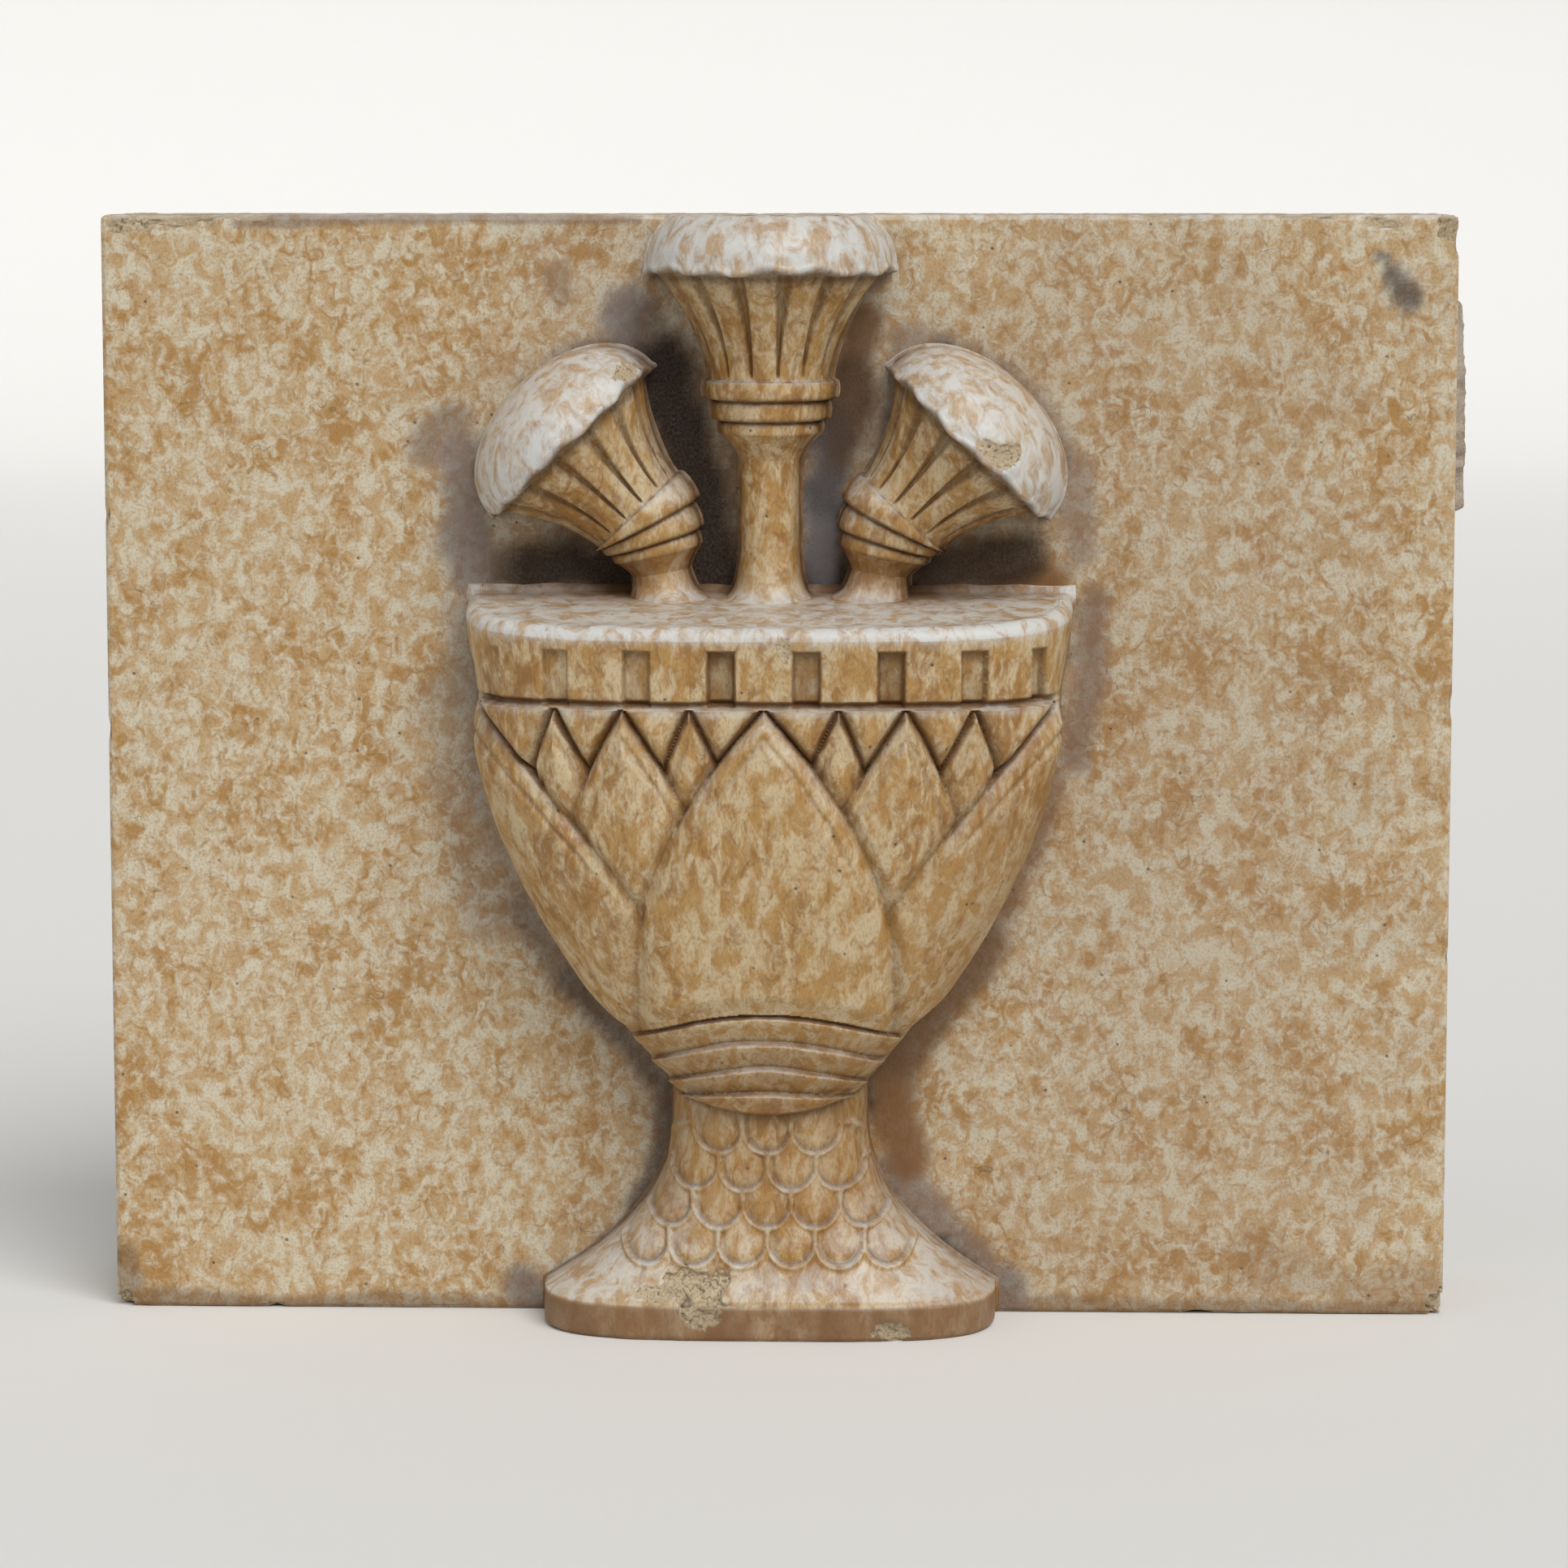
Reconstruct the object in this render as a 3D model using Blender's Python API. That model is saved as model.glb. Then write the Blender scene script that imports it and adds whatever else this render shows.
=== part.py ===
"""A glazed terracotta wall block: an urn holding three papyrus flowers, in high relief.

The block is one casting, hollow at the back between its webs, and stands on its bed.
+X is the viewer's right and +Z is up. The glazed face lies in the plane y = 0 and looks along -Y,
with x = 0 at its middle and z = 0 at the bed. Mortar from the next joint clings to the right side.
"""

import math

import bmesh
import bpy
import numpy as np
from mathutils import Vector
from mathutils.geometry import delaunay_2d_cdt

# Block
BLOCK_WIDTH = 0.610
BLOCK_HEIGHT = 0.501
BLOCK_DEPTH = 0.100
FACE_WALL = 0.034
SIDE_WALL = 0.030
WEB = 0.026
CELL_COUNT = 3
CELL_CORNER = 0.008
ROUND_PROFILE = 0.5

# Urn, with its heights taken from the bed and its depths from the glazed face
URN_X = -0.003
FOOT_HALF_WIDTH = 0.103
FOOT_DEPTH = 0.064
FOOT_BAND = 0.016
FOOT_ARRIS = 0.003
FOOT_SECTION = 3.6
FLARE_POWER = 2.4
NECK_HALF_WIDTH = 0.044
NECK_DEPTH = 0.046
NECK_TOP = 0.097
NECK_SECTION = 2.7
BOWL_BOTTOM = 0.111
BOWL_BOTTOM_HALF_WIDTH = 0.045
BOWL_BOTTOM_DEPTH = 0.054
BOWL_SAG = 0.010
BOWL_EDGE = 0.003
BOWL_POWER = 1.77
RIM_TOP = 0.332
RIM_HALF_WIDTH = 0.137
RIM_DEPTH = 0.095
RIM_FLARE = 0.006
RIM_PROUD = 0.004
RIM_SECTION = 3.5
RIM_ARRIS = 0.006
WASH_DROP = 0.009
URN_WALL = 0.034
BOWL_TOP_HALF_WIDTH = RIM_HALF_WIDTH - RIM_FLARE
BOWL_TOP_DEPTH = RIM_DEPTH - RIM_PROUD

# Groove and slots of the rim
GROOVE_HALF_WIDTH = 0.0025
GROOVE_DEPTH = 0.003
SLOT_COUNT = 8
SLOT_PITCH = 0.0372
SLOT_WIDTH = 0.0125
SLOT_HEIGHT = 0.025
SLOT_TOP_GAP = 0.004
SLOT_DEPTH = 0.0035
SLOT_SLOPE = 0.0012
GROOVE_DROP = 0.043
GROOVE_HEIGHT = RIM_TOP - GROOVE_DROP

# Petals of the bowl: place as a share of the half width, half width, layer
PETAL_TIP = GROOVE_HEIGHT - GROOVE_HALF_WIDTH
PETAL_LENGTH = 0.111
PETAL_POWER = 1.85
PETAL_EDGE = 0.0022
PETAL_GROOVE = 0.0018
PETAL_GROOVE_DEPTH = 0.0022
PETAL_CROWN = 0.0022
PETAL_CROWN_RUN = 0.012
PETAL_STEP = 0.0012
CENTRE_PETAL = (0.0, 0.0556, 3)
CORNER_PETAL = (0.985, 0.0505, 2)
MIDDLE_PETAL = (0.475, 0.0396, 1)
INNER_LEAF = (0.250, 0.0300, 0)
OUTER_LEAF = (0.705, 0.0300, 0)

# Rounded bands under the petals, each with its height at the sides and its rise in the middle
BAND_LINES = ((0.134, 0.0155), (0.123, 0.0140), (0.113, 0.0115), (0.106, 0.0062))
BAND_SWELL = 0.0024
BAND_SHOULDER = 0.0035

# Scales of the neck
SCALE_LOWEST = 0.0335
SCALE_ROW_RISE = 0.0165
SCALE_ROWS = 4
SCALE_SPREAD = 4
SCALE_PITCH = 0.0218
SCALE_RADIUS = 0.0098
SCALE_EDGE = 0.0018
SCALE_RELIEF = 0.0016

# Flowers
STEM_RADIUS = 0.0133
STEM_ROOT_RADIUS = 0.0177
STEM_ROOT_RISE = 0.014
FLOWER_STILT = 0.012
LOW_RING_RADIUS = 0.0205
LOW_RING_HEIGHT = 0.0055
MIDDLE_RING_RADIUS = 0.0250
MIDDLE_RING_HEIGHT = 0.0080
COLLAR_RADIUS = 0.0287
COLLAR_HEIGHT = 0.0075
RING_GAP = 0.0018
RING_INSET = 0.0020
CALYX_HEIGHT = 0.0060
BELL_RADIUS = 0.0280
BELL_LENGTH = 0.0470
BELL_TOP_RADIUS = 0.0504
BELL_POWER = 1.8
SEPAL_COUNT = 7
SEPAL_RELIEF = 0.0030
SEPAL_ROOT_RELIEF = 0.0010
CAP_RADIUS = 0.0553
CAP_EDGE = 0.0030
CAP_DOME = 0.0370
CAP_EDGE_DROP = 0.0217
COLLAR_TOP = BLOCK_HEIGHT - CAP_EDGE_DROP - CAP_EDGE - BELL_LENGTH - RING_GAP
SIDE_FLOWER_SIZE = 0.885
SIDE_ROOT = (0.0465, RIM_TOP - WASH_DROP - RIM_ARRIS / 2.0)
SIDE_ROOT_LEAN = 8.0
SIDE_ROOT_PULL = 0.018
SIDE_COLLAR = (0.0595, RIM_TOP + 0.0365)
SIDE_LEAN = 43.5
SIDE_COLLAR_PULL = 0.014

# Mortar on the right side
MORTAR_DROP = 0.034
MORTAR_HEIGHT = 0.103
MORTAR_FRONT = 0.006
MORTAR_BACK = 0.074
MORTAR_THICKNESS = 0.0055
MORTAR_EDGE = 0.0030
MORTAR_END_SHARE = 0.12
MORTAR_ROUGHNESS = 0.0022
MORTAR_CELL = 0.011
MORTAR_SEED = 7
MORTAR_GAP = 0.0003
MORTAR_TOP = BLOCK_HEIGHT - MORTAR_DROP
MORTAR_BOTTOM = MORTAR_TOP - MORTAR_HEIGHT

# Plain field beside the relief, in which the block may be made wider or narrower
FIELD_MARGIN = 0.013

# Fineness of the faceted surface: shares are of the urn's half width
MILLIMETRE = 0.001
PLUG = 0.012
OUTLINE_SLACK = 0.0001
CARVING_FADE = 0.03
FILL_SPACING = 0.013
FILL_CLEARANCE = 0.0045
SIDE_SHARES = (0.78, 0.88, 0.945, 0.98, 0.996)
LINE_SHARE = 0.97
FILL_SHARE = 0.90
NECK_STEPS = 14
BOWL_STEPS = 18
RIM_STEPS = 4
PETAL_STEPS = 18
RIM_LINE_STEPS = 32
LINE_STEPS = 16
SCALE_STEPS = 10
SECTION_STEPS = 28
BELL_STEPS = 5
DOME_STEPS = 6
DOME_STEP_DEGREES = 14.0
STEM_SAMPLES = 60
HOLLOW_ROWS = 6
HOLLOW_STEPS = 12


def clear_scene():
    for old in list(bpy.data.objects):
        bpy.data.objects.remove(old)


def collection(name):
    made = bpy.data.collections.new(name)
    bpy.context.scene.collection.children.link(made)
    return made


def material(name, colour, roughness):
    made = bpy.data.materials.new(name)
    made.use_nodes = True
    shader = made.node_tree.nodes["Principled BSDF"]
    shader.inputs["Base Color"].default_value = (*colour, 1.0)
    shader.inputs["Roughness"].default_value = roughness
    shader.inputs["Metallic"].default_value = 0.0
    return made


def add_object(name, bm, where):
    mesh = bpy.data.meshes.new(name)
    bmesh.ops.triangulate(bm, faces=bm.faces)
    bmesh.ops.recalc_face_normals(bm, faces=bm.faces)
    bm.to_mesh(mesh)
    bm.free()
    made = bpy.data.objects.new(name, mesh)
    where.objects.link(made)
    return made


def add_tool(name, bm, where):
    made = add_object(name, bm, where)
    made.hide_render = True
    made.display_type = "WIRE"
    return made


def combine(target, tool, operation):
    step = target.modifiers.new(f"{operation.lower()} {tool.name}", "BOOLEAN")
    step.operation = operation
    step.solver = "EXACT"
    step.object = tool


def ease(share):
    held = np.clip(share, 0.0, 1.0)
    return held * held * (3.0 - 2.0 * held)


def rise(low, high, value):
    return np.clip((value - low) / (high - low), 0.0, 1.0)


# The urn's plan at a height: half width at the wall, depth in the middle, power of the oval
def neck_plan(z):
    flare = (1.0 - rise(FOOT_BAND, NECK_TOP, z)) ** FLARE_POWER
    half_width = NECK_HALF_WIDTH + (FOOT_HALF_WIDTH - NECK_HALF_WIDTH) * flare
    depth = NECK_DEPTH + (FOOT_DEPTH - NECK_DEPTH) * flare
    section = NECK_SECTION + (FOOT_SECTION - NECK_SECTION) * flare
    return half_width, depth, section


def bowl_plan(z):
    swell = 1.0 - (1.0 - rise(BOWL_BOTTOM, GROOVE_HEIGHT, z)) ** BOWL_POWER
    flare = rise(GROOVE_HEIGHT, RIM_TOP, z)
    half_width = BOWL_BOTTOM_HALF_WIDTH + (BOWL_TOP_HALF_WIDTH - BOWL_BOTTOM_HALF_WIDTH) * swell
    depth = BOWL_BOTTOM_DEPTH + (BOWL_TOP_DEPTH - BOWL_BOTTOM_DEPTH) * swell
    section = NECK_SECTION + (RIM_SECTION - NECK_SECTION) * swell
    half_width = half_width + (RIM_HALF_WIDTH - BOWL_TOP_HALF_WIDTH) * flare
    depth = depth + (RIM_DEPTH - BOWL_TOP_DEPTH) * flare
    return half_width, depth, section


def half_width_at(z):
    return np.where(z < BOWL_BOTTOM, neck_plan(z)[0], bowl_plan(z)[0])


def oval_depth(x, plan):
    half_width, depth, section = plan
    share = np.clip(np.abs(x) / half_width, 0.0, 1.0)
    return depth * (1.0 - share**section) ** (1.0 / section)


# The bowl's lower edge hangs lowest in the middle
def bowl_edge(x):
    share = np.clip(np.abs(x) / BOWL_BOTTOM_HALF_WIDTH, 0.0, 1.0)
    return BOWL_BOTTOM - BOWL_SAG * (1.0 - share**2)


def band_line(x, line):
    side_height, middle_rise = line
    share = np.clip(np.abs(x) / bowl_plan(side_height)[0], 0.0, 1.0)
    return side_height + middle_rise * (1.0 - share**2)


def petal_half_width(drop, half_width):
    share = np.clip(drop / PETAL_LENGTH, 0.0, 1.0)
    return half_width * (1.0 - (1.0 - share) ** PETAL_POWER)


def petal_margin(x, z, place, half_width):
    """Distance in from the petal's edge, and below nothing outside it."""
    drop = PETAL_TIP - z
    share = np.clip(drop / PETAL_LENGTH, 0.0, 1.0)
    slope = PETAL_POWER * half_width / PETAL_LENGTH * (1.0 - share) ** (PETAL_POWER - 1.0)
    across = petal_half_width(drop, half_width) - np.abs(x - place * bowl_plan(z)[0])
    return np.minimum(across / np.sqrt(1.0 + slope**2), drop)


def all_petals():
    """Every petal from the back layer to the front one, as place, half width and layer."""
    petals = []
    for place, half_width, layer in (INNER_LEAF, OUTER_LEAF, MIDDLE_PETAL, CORNER_PETAL):
        for side in (-1.0, 1.0):
            petals.append((side * place, half_width, layer))
    petals.append(CENTRE_PETAL)
    return petals


def petal_relief(x, z):
    height = np.zeros_like(x)
    for place, half_width, layer in all_petals():
        margin = petal_margin(x, z, place, half_width)
        groove = np.clip(1.0 - np.abs(margin) / PETAL_GROOVE, 0.0, 1.0)
        crown = PETAL_CROWN * ease(margin / PETAL_CROWN_RUN)
        raised = layer * PETAL_STEP * ease(margin / PETAL_EDGE) + crown
        height = np.where(margin > 0.0, raised, height) - PETAL_GROOVE_DEPTH * groove
    return height


def band_relief(x, z):
    lines = [band_line(x, line) for line in BAND_LINES]
    lines.append(bowl_edge(x))
    height = np.zeros_like(x)
    for upper, lower in zip(lines, lines[1:]):
        gap = np.maximum(upper - lower, MILLIMETRE)
        share = np.clip((upper - z) / gap, 0.0, 1.0)
        height = height + BAND_SWELL * np.sin(math.pi * share) ** 0.7
    return height


def scale_centres():
    """Bottom height and middle of every scale, from the lowest row up."""
    centres = []
    for row in range(SCALE_ROWS):
        bottom = SCALE_LOWEST + row * SCALE_ROW_RISE
        reach = neck_plan(bottom + SCALE_RADIUS)[0] - SCALE_RADIUS * 0.6
        offset = 0.5 if row % 2 == 0 else 0.0
        for step in range(-SCALE_SPREAD, SCALE_SPREAD):
            middle = (step + offset) * SCALE_PITCH
            if abs(middle) < reach:
                centres.append((bottom, middle))
    return centres


def scale_margin(x, z, bottom, middle):
    centre = bottom + SCALE_RADIUS
    below = np.minimum(z - centre, 0.0)
    above = np.maximum(z - centre - SCALE_ROW_RISE * 0.45, 0.0)
    return SCALE_RADIUS - np.sqrt((x - middle) ** 2 + below**2 + above**2)


def scale_relief(x, z):
    height = np.zeros_like(x)
    for bottom, middle in scale_centres():
        margin = scale_margin(x, z, bottom, middle)
        height = np.where(margin > 0.0, SCALE_RELIEF * ease(margin / SCALE_EDGE), height)
    return height


def slot_places():
    """Middle of each slot across the rim, at even steps along the rim's curved front."""
    across = np.linspace(0.0, RIM_HALF_WIDTH, 400)
    depth = oval_depth(across, bowl_plan(np.full(400, GROOVE_HEIGHT)))
    along = np.concatenate(([0.0], np.cumsum(np.hypot(np.diff(across), np.diff(depth)))))
    middles = []
    for index in range(SLOT_COUNT):
        step = (index - (SLOT_COUNT - 1) / 2.0) * SLOT_PITCH
        sides = [np.interp(abs(step) + shift, along, across) for shift in (-SLOT_WIDTH / 2, SLOT_WIDTH / 2)]
        middles.append((math.copysign(sum(sides) / 2.0, step), (sides[1] - sides[0]) / 2.0))
    return middles


def slot_span():
    top = RIM_TOP - WASH_DROP - RIM_ARRIS - SLOT_TOP_GAP
    return top - SLOT_HEIGHT, top


def rim_relief(x, z):
    groove = np.clip(1.0 - np.abs(z - GROOVE_HEIGHT) / GROOVE_HALF_WIDTH, 0.0, 1.0)
    height = -GROOVE_DEPTH * groove
    low, high = slot_span()
    for middle, half_width in slot_places():
        across = half_width - np.abs(x - middle)
        margin = np.minimum(across, np.minimum(z - low, high - z))
        height = height - SLOT_DEPTH * rise(0.0, SLOT_SLOPE, margin)
    return height


def urn_depth(x, z):
    """Depth of the urn's carved front before the glazed face, and none beside the urn."""
    neck = oval_depth(x, neck_plan(z))
    bowl = oval_depth(x, bowl_plan(z))
    hang = rise(-BOWL_EDGE / 2.0, BOWL_EDGE / 2.0, z - bowl_edge(x))
    top_line = band_line(x, BAND_LINES[0])
    carving = np.where(z > top_line, petal_relief(x, z), band_relief(x, z))
    carving = np.where(z > GROOVE_HEIGHT - GROOVE_HALF_WIDTH, rim_relief(x, z), carving)
    carving = np.where(hang > 0.5, carving, scale_relief(x, z))
    inside = np.clip(1.0 - np.abs(x) / half_width_at(z), 0.0, 1.0)
    depth = neck + (bowl - neck) * hang + carving * ease(inside / CARVING_FADE)
    wash = (RIM_TOP - z) * RIM_DEPTH / WASH_DROP
    rounded = np.clip((depth + RIM_ARRIS - wash) / (2.0 * RIM_ARRIS), 0.0, 1.0)
    softened = depth - RIM_ARRIS * rounded**2
    return np.where(inside > OUTLINE_SLACK, np.maximum(np.minimum(softened, wash), 0.0), 0.0)


def outline_heights():
    """Heights at which the urn's outline has a corner, closer together where it flares."""
    heights = [0.0]
    stretches = ((0.0, FOOT_BAND, 1), (FOOT_BAND, NECK_TOP, NECK_STEPS), (NECK_TOP, BOWL_BOTTOM, 1))
    stretches += ((BOWL_BOTTOM, GROOVE_HEIGHT, BOWL_STEPS), (GROOVE_HEIGHT, RIM_TOP, RIM_STEPS))
    for low, high, pieces in stretches:
        heights.extend(low + (high - low) * (piece + 1) / pieces for piece in range(pieces))
    return heights


# Lines of the front elevation that the facets follow, each a list of points (x, z)
def urn_outline_lines():
    heights = outline_heights()
    lines = []
    for side in (-1.0, 1.0):
        for share in (1.0, *SIDE_SHARES):
            points = [(side * share * float(half_width_at(z)), float(z)) for z in heights]
            if share < 1.0:
                points = points[:-1]
            lines.append(points)
    shoulder = float(half_width_at(RIM_TOP))
    lines.append([(x, RIM_TOP) for x in np.linspace(-shoulder, shoulder, LINE_STEPS // 2 + 1)])
    return lines


def rim_lines():
    reach = RIM_HALF_WIDTH * SIDE_SHARES[-1]
    across = np.linspace(-reach, reach, RIM_LINE_STEPS + 1)
    lines = []
    for drop in (0.0, RIM_ARRIS / 2.0, RIM_ARRIS):
        points = []
        for x in across:
            depth = float(oval_depth(x, bowl_plan(RIM_TOP - WASH_DROP)))
            points.append((x, RIM_TOP - WASH_DROP * depth / RIM_DEPTH - drop))
        lines.append(points)
    for shift in (-GROOVE_HALF_WIDTH, 0.0, GROOVE_HALF_WIDTH):
        height = GROOVE_HEIGHT + shift
        inner = float(half_width_at(height)) * LINE_SHARE
        lines.append([(x, height) for x in np.linspace(-inner, inner, LINE_STEPS + 1)])
    low, high = slot_span()
    for middle, half_width in slot_places():
        for inset in (0.0, SLOT_SLOPE):
            left = middle - half_width + inset
            right = middle + half_width - inset
            bottom = low + inset
            top = high - inset
            lines.append([(left, bottom), (right, bottom), (right, top), (left, top), (left, bottom)])
    return lines


def seen_runs(points, keeps):
    """The unbroken runs of a line's points that the test keeps."""
    runs = [[]]
    for point in points:
        if keeps(*point):
            runs[-1].append(point)
        else:
            runs.append([])
    return [run for run in runs if len(run) > 1]


def petal_lines():
    lines = []
    petals = all_petals()
    for index, (place, half_width, _) in enumerate(petals):
        above = petals[index + 1 :]

        def keeps(x, z):
            covered = any(petal_margin(x, z, p, w) > 0.0 for p, w, _ in above)
            inside = abs(x) < bowl_plan(z)[0] * LINE_SHARE
            return inside and not covered and z > band_line(x, BAND_LINES[0]) + MILLIMETRE

        lowest = BAND_LINES[0][0]
        drops = np.linspace(0.0, PETAL_TIP - lowest, PETAL_STEPS + 1)
        for inset in (0.0, PETAL_EDGE):
            for side in (-1.0, 1.0):
                points = []
                for drop in drops:
                    reach = petal_half_width(drop, half_width) - inset
                    if reach >= 0.0:
                        z = PETAL_TIP - drop
                        points.append((float(place * bowl_plan(z)[0] + side * reach), z))
                lines.extend(seen_runs(points, keeps))
    return lines


def band_lines():
    lines = []

    def above_edge(x, z):
        return z > bowl_edge(x) + MILLIMETRE

    for line in BAND_LINES:
        for shift in (-BAND_SHOULDER, 0.0, BAND_SHOULDER):
            reach = float(bowl_plan(line[0])[0]) * LINE_SHARE
            across = np.linspace(-reach, reach, LINE_STEPS + 1)
            points = [(x, float(band_line(x, line)) + shift) for x in across]
            if shift <= 0.0 or line is not BAND_LINES[0]:
                lines.extend(seen_runs(points, above_edge))
    reach = NECK_HALF_WIDTH * LINE_SHARE
    for shift in (-BOWL_EDGE / 2.0, BOWL_EDGE / 2.0):
        lines.append([(x, float(bowl_edge(x)) + shift) for x in np.linspace(-reach, reach, LINE_STEPS + 1)])
    return lines


def scale_lines():
    lines = []
    centres = scale_centres()
    for index, (bottom, middle) in enumerate(centres):
        above = centres[index + 1 :]

        def keeps(x, z):
            covered = any(scale_margin(x, z, b, m) > 0.0 for b, m in above)
            inside = abs(x) < neck_plan(z)[0] * FILL_SHARE
            return inside and not covered and z < bowl_edge(x) - BOWL_EDGE

        for inset in (0.0, SCALE_EDGE):
            radius = SCALE_RADIUS - inset
            points = []
            for step in range(SCALE_STEPS + 1):
                turn = math.pi * (1.0 + step / SCALE_STEPS)
                x = middle + radius * math.cos(turn)
                points.append((x, bottom + SCALE_RADIUS + radius * math.sin(turn)))
            lines.extend(seen_runs(points, keeps))
    return lines


def foot_lines():
    lines = []
    for height in (FOOT_BAND, FOOT_BAND + FOOT_ARRIS):
        reach = float(half_width_at(height)) * LINE_SHARE
        lines.append([(x, height) for x in np.linspace(-reach, reach, LINE_STEPS + 1)])
    return lines


def fill_points(taken):
    """Even points between the lines, clear of them."""
    near = np.array(taken)
    points = []
    rows = int(RIM_TOP / FILL_SPACING)
    for row in range(1, rows):
        z = row * RIM_TOP / rows
        reach = float(half_width_at(z)) * FILL_SHARE
        across = max(2, round(2.0 * reach / FILL_SPACING))
        for step in range(across + 1):
            x = -reach + 2.0 * reach * step / across
            if np.min(np.hypot(near[:, 0] - x, near[:, 1] - z)) > FILL_CLEARANCE:
                points.append((x, z))
    return points


def along_line(points):
    """Points along a line no further apart than a facet."""
    made = []
    for (x0, z0), (x1, z1) in zip(points, points[1:]):
        pieces = max(1, math.ceil(math.hypot(x1 - x0, z1 - z0) / FILL_CLEARANCE))
        for piece in range(pieces + 1):
            share = piece / pieces
            made.append((x0 + (x1 - x0) * share, z0 + (z1 - z0) * share))
    return made


def carved_front():
    """Corners (x, z) measured from the urn's axis, and triangles, of the whole front elevation."""
    lines = urn_outline_lines() + rim_lines() + petal_lines()
    lines += band_lines() + scale_lines() + foot_lines()
    left = -BLOCK_WIDTH / 2.0 - URN_X
    right = BLOCK_WIDTH / 2.0 - URN_X
    field = RIM_HALF_WIDTH + FIELD_MARGIN
    along = (left, -field, field, right)
    border = [(x, 0.0) for x in along] + [(x, BLOCK_HEIGHT) for x in reversed(along)] + [(left, 0.0)]
    lines += [[(x, 0.0), (x, BLOCK_HEIGHT)] for x in (-field, field)]
    corners = []
    edges = []
    taken = []
    for line in [border, *lines]:
        first = len(corners)
        corners.extend(line)
        edges.extend((first + step, first + step + 1) for step in range(len(line) - 1))
        taken.extend(along_line(line))
    corners.extend(fill_points(taken))
    flat = [Vector((x / MILLIMETRE, z / MILLIMETRE)) for x, z in corners]
    made = delaunay_2d_cdt(flat, edges, [], 0, 0.02)
    points = np.array([(corner.x, corner.y) for corner in made[0]]) * MILLIMETRE
    return points, made[2]


def build_block(where):
    points, triangles = carved_front()
    depth = urn_depth(points[:, 0], points[:, 1])
    bm = bmesh.new()
    corners = [bm.verts.new((x + URN_X, -y, z)) for (x, z), y in zip(points, depth)]
    for triangle in triangles:
        bm.faces.new([corners[index] for index in triangle])
    border = [edge for edge in bm.edges if edge.is_boundary]
    pulled = bmesh.ops.extrude_edge_only(bm, edges=border)["geom"]
    for item in pulled:
        if isinstance(item, bmesh.types.BMVert):
            item.co.y = BLOCK_DEPTH
    back = [edge for edge in bm.edges if edge.is_boundary]
    bmesh.ops.holes_fill(bm, edges=back, sides=0)
    return add_object("glazed_block", bm, where)


# A flower's section across its axis: straight sides from the wall, then a half round
def flower_section(radius, flute):
    points = [(-radius, PLUG)]
    for step in range(SECTION_STEPS + 1):
        turn = math.pi * step / SECTION_STEPS
        reach = radius - flute * (1.0 - abs(math.sin(SEPAL_COUNT * turn)))
        points.append((-reach * math.cos(turn), -FLOWER_STILT - reach * math.sin(turn)))
    points.append((radius, PLUG))
    return points


def flower_stations():
    """Distance along the axis from the collar's top, radius and flute depth, root first."""
    ring_two_top = -COLLAR_HEIGHT - RING_GAP
    ring_two_foot = ring_two_top - MIDDLE_RING_HEIGHT
    ring_three_top = ring_two_foot - RING_GAP
    ring_three_foot = ring_three_top - LOW_RING_HEIGHT
    calyx_foot = ring_three_foot - CALYX_HEIGHT
    stations = [(calyx_foot, STEM_RADIUS, 0.0)]
    stations.append((calyx_foot + CALYX_HEIGHT / 2.0, STEM_RADIUS + RING_INSET, 0.0))
    stations.append((ring_three_foot, LOW_RING_RADIUS - RING_INSET, 0.0))
    stations.append((ring_three_top - LOW_RING_HEIGHT / 3.0, LOW_RING_RADIUS, 0.0))
    stations.append((ring_three_top, LOW_RING_RADIUS, 0.0))
    stations.append((ring_two_foot, MIDDLE_RING_RADIUS - RING_INSET, 0.0))
    stations.append((ring_two_foot + RING_GAP, MIDDLE_RING_RADIUS, 0.0))
    stations.append((ring_two_top - RING_GAP, MIDDLE_RING_RADIUS, 0.0))
    stations.append((ring_two_top, MIDDLE_RING_RADIUS - RING_INSET, 0.0))
    stations.append((-COLLAR_HEIGHT, COLLAR_RADIUS - RING_INSET, 0.0))
    stations.append((-COLLAR_HEIGHT + RING_GAP, COLLAR_RADIUS, 0.0))
    stations.append((-RING_GAP, COLLAR_RADIUS, 0.0))
    stations.append((0.0, COLLAR_RADIUS - RING_INSET, 0.0))
    for step in range(BELL_STEPS + 1):
        share = step / BELL_STEPS
        radius = BELL_RADIUS + (BELL_TOP_RADIUS - BELL_RADIUS) * share**BELL_POWER
        relief = SEPAL_ROOT_RELIEF + (SEPAL_RELIEF - SEPAL_ROOT_RELIEF) * share
        stations.append((RING_GAP + BELL_LENGTH * share, radius, relief))
    edge = RING_GAP + BELL_LENGTH
    stations.append((edge + CAP_EDGE / 3.0, CAP_RADIUS - CAP_EDGE / 3.0, 0.0))
    stations.append((edge + CAP_EDGE, CAP_RADIUS, 0.0))
    return stations


def dome_stations(start, size, top):
    """Stations of the domed cap up to the height or angle where it ends."""
    stations = []
    for step in range(1, DOME_STEPS + 1):
        share = math.sin(math.radians(step * DOME_STEP_DEGREES))
        rise_here = CAP_DOME * share
        if (start + rise_here) * size > top:
            rise_here = top / size - start
            share = rise_here / CAP_DOME
        stations.append((start + rise_here, CAP_RADIUS * math.sqrt(1.0 - share**2), 0.0))
        if (start + rise_here) * size >= top - MILLIMETRE / 100.0:
            break
    return stations


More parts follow.
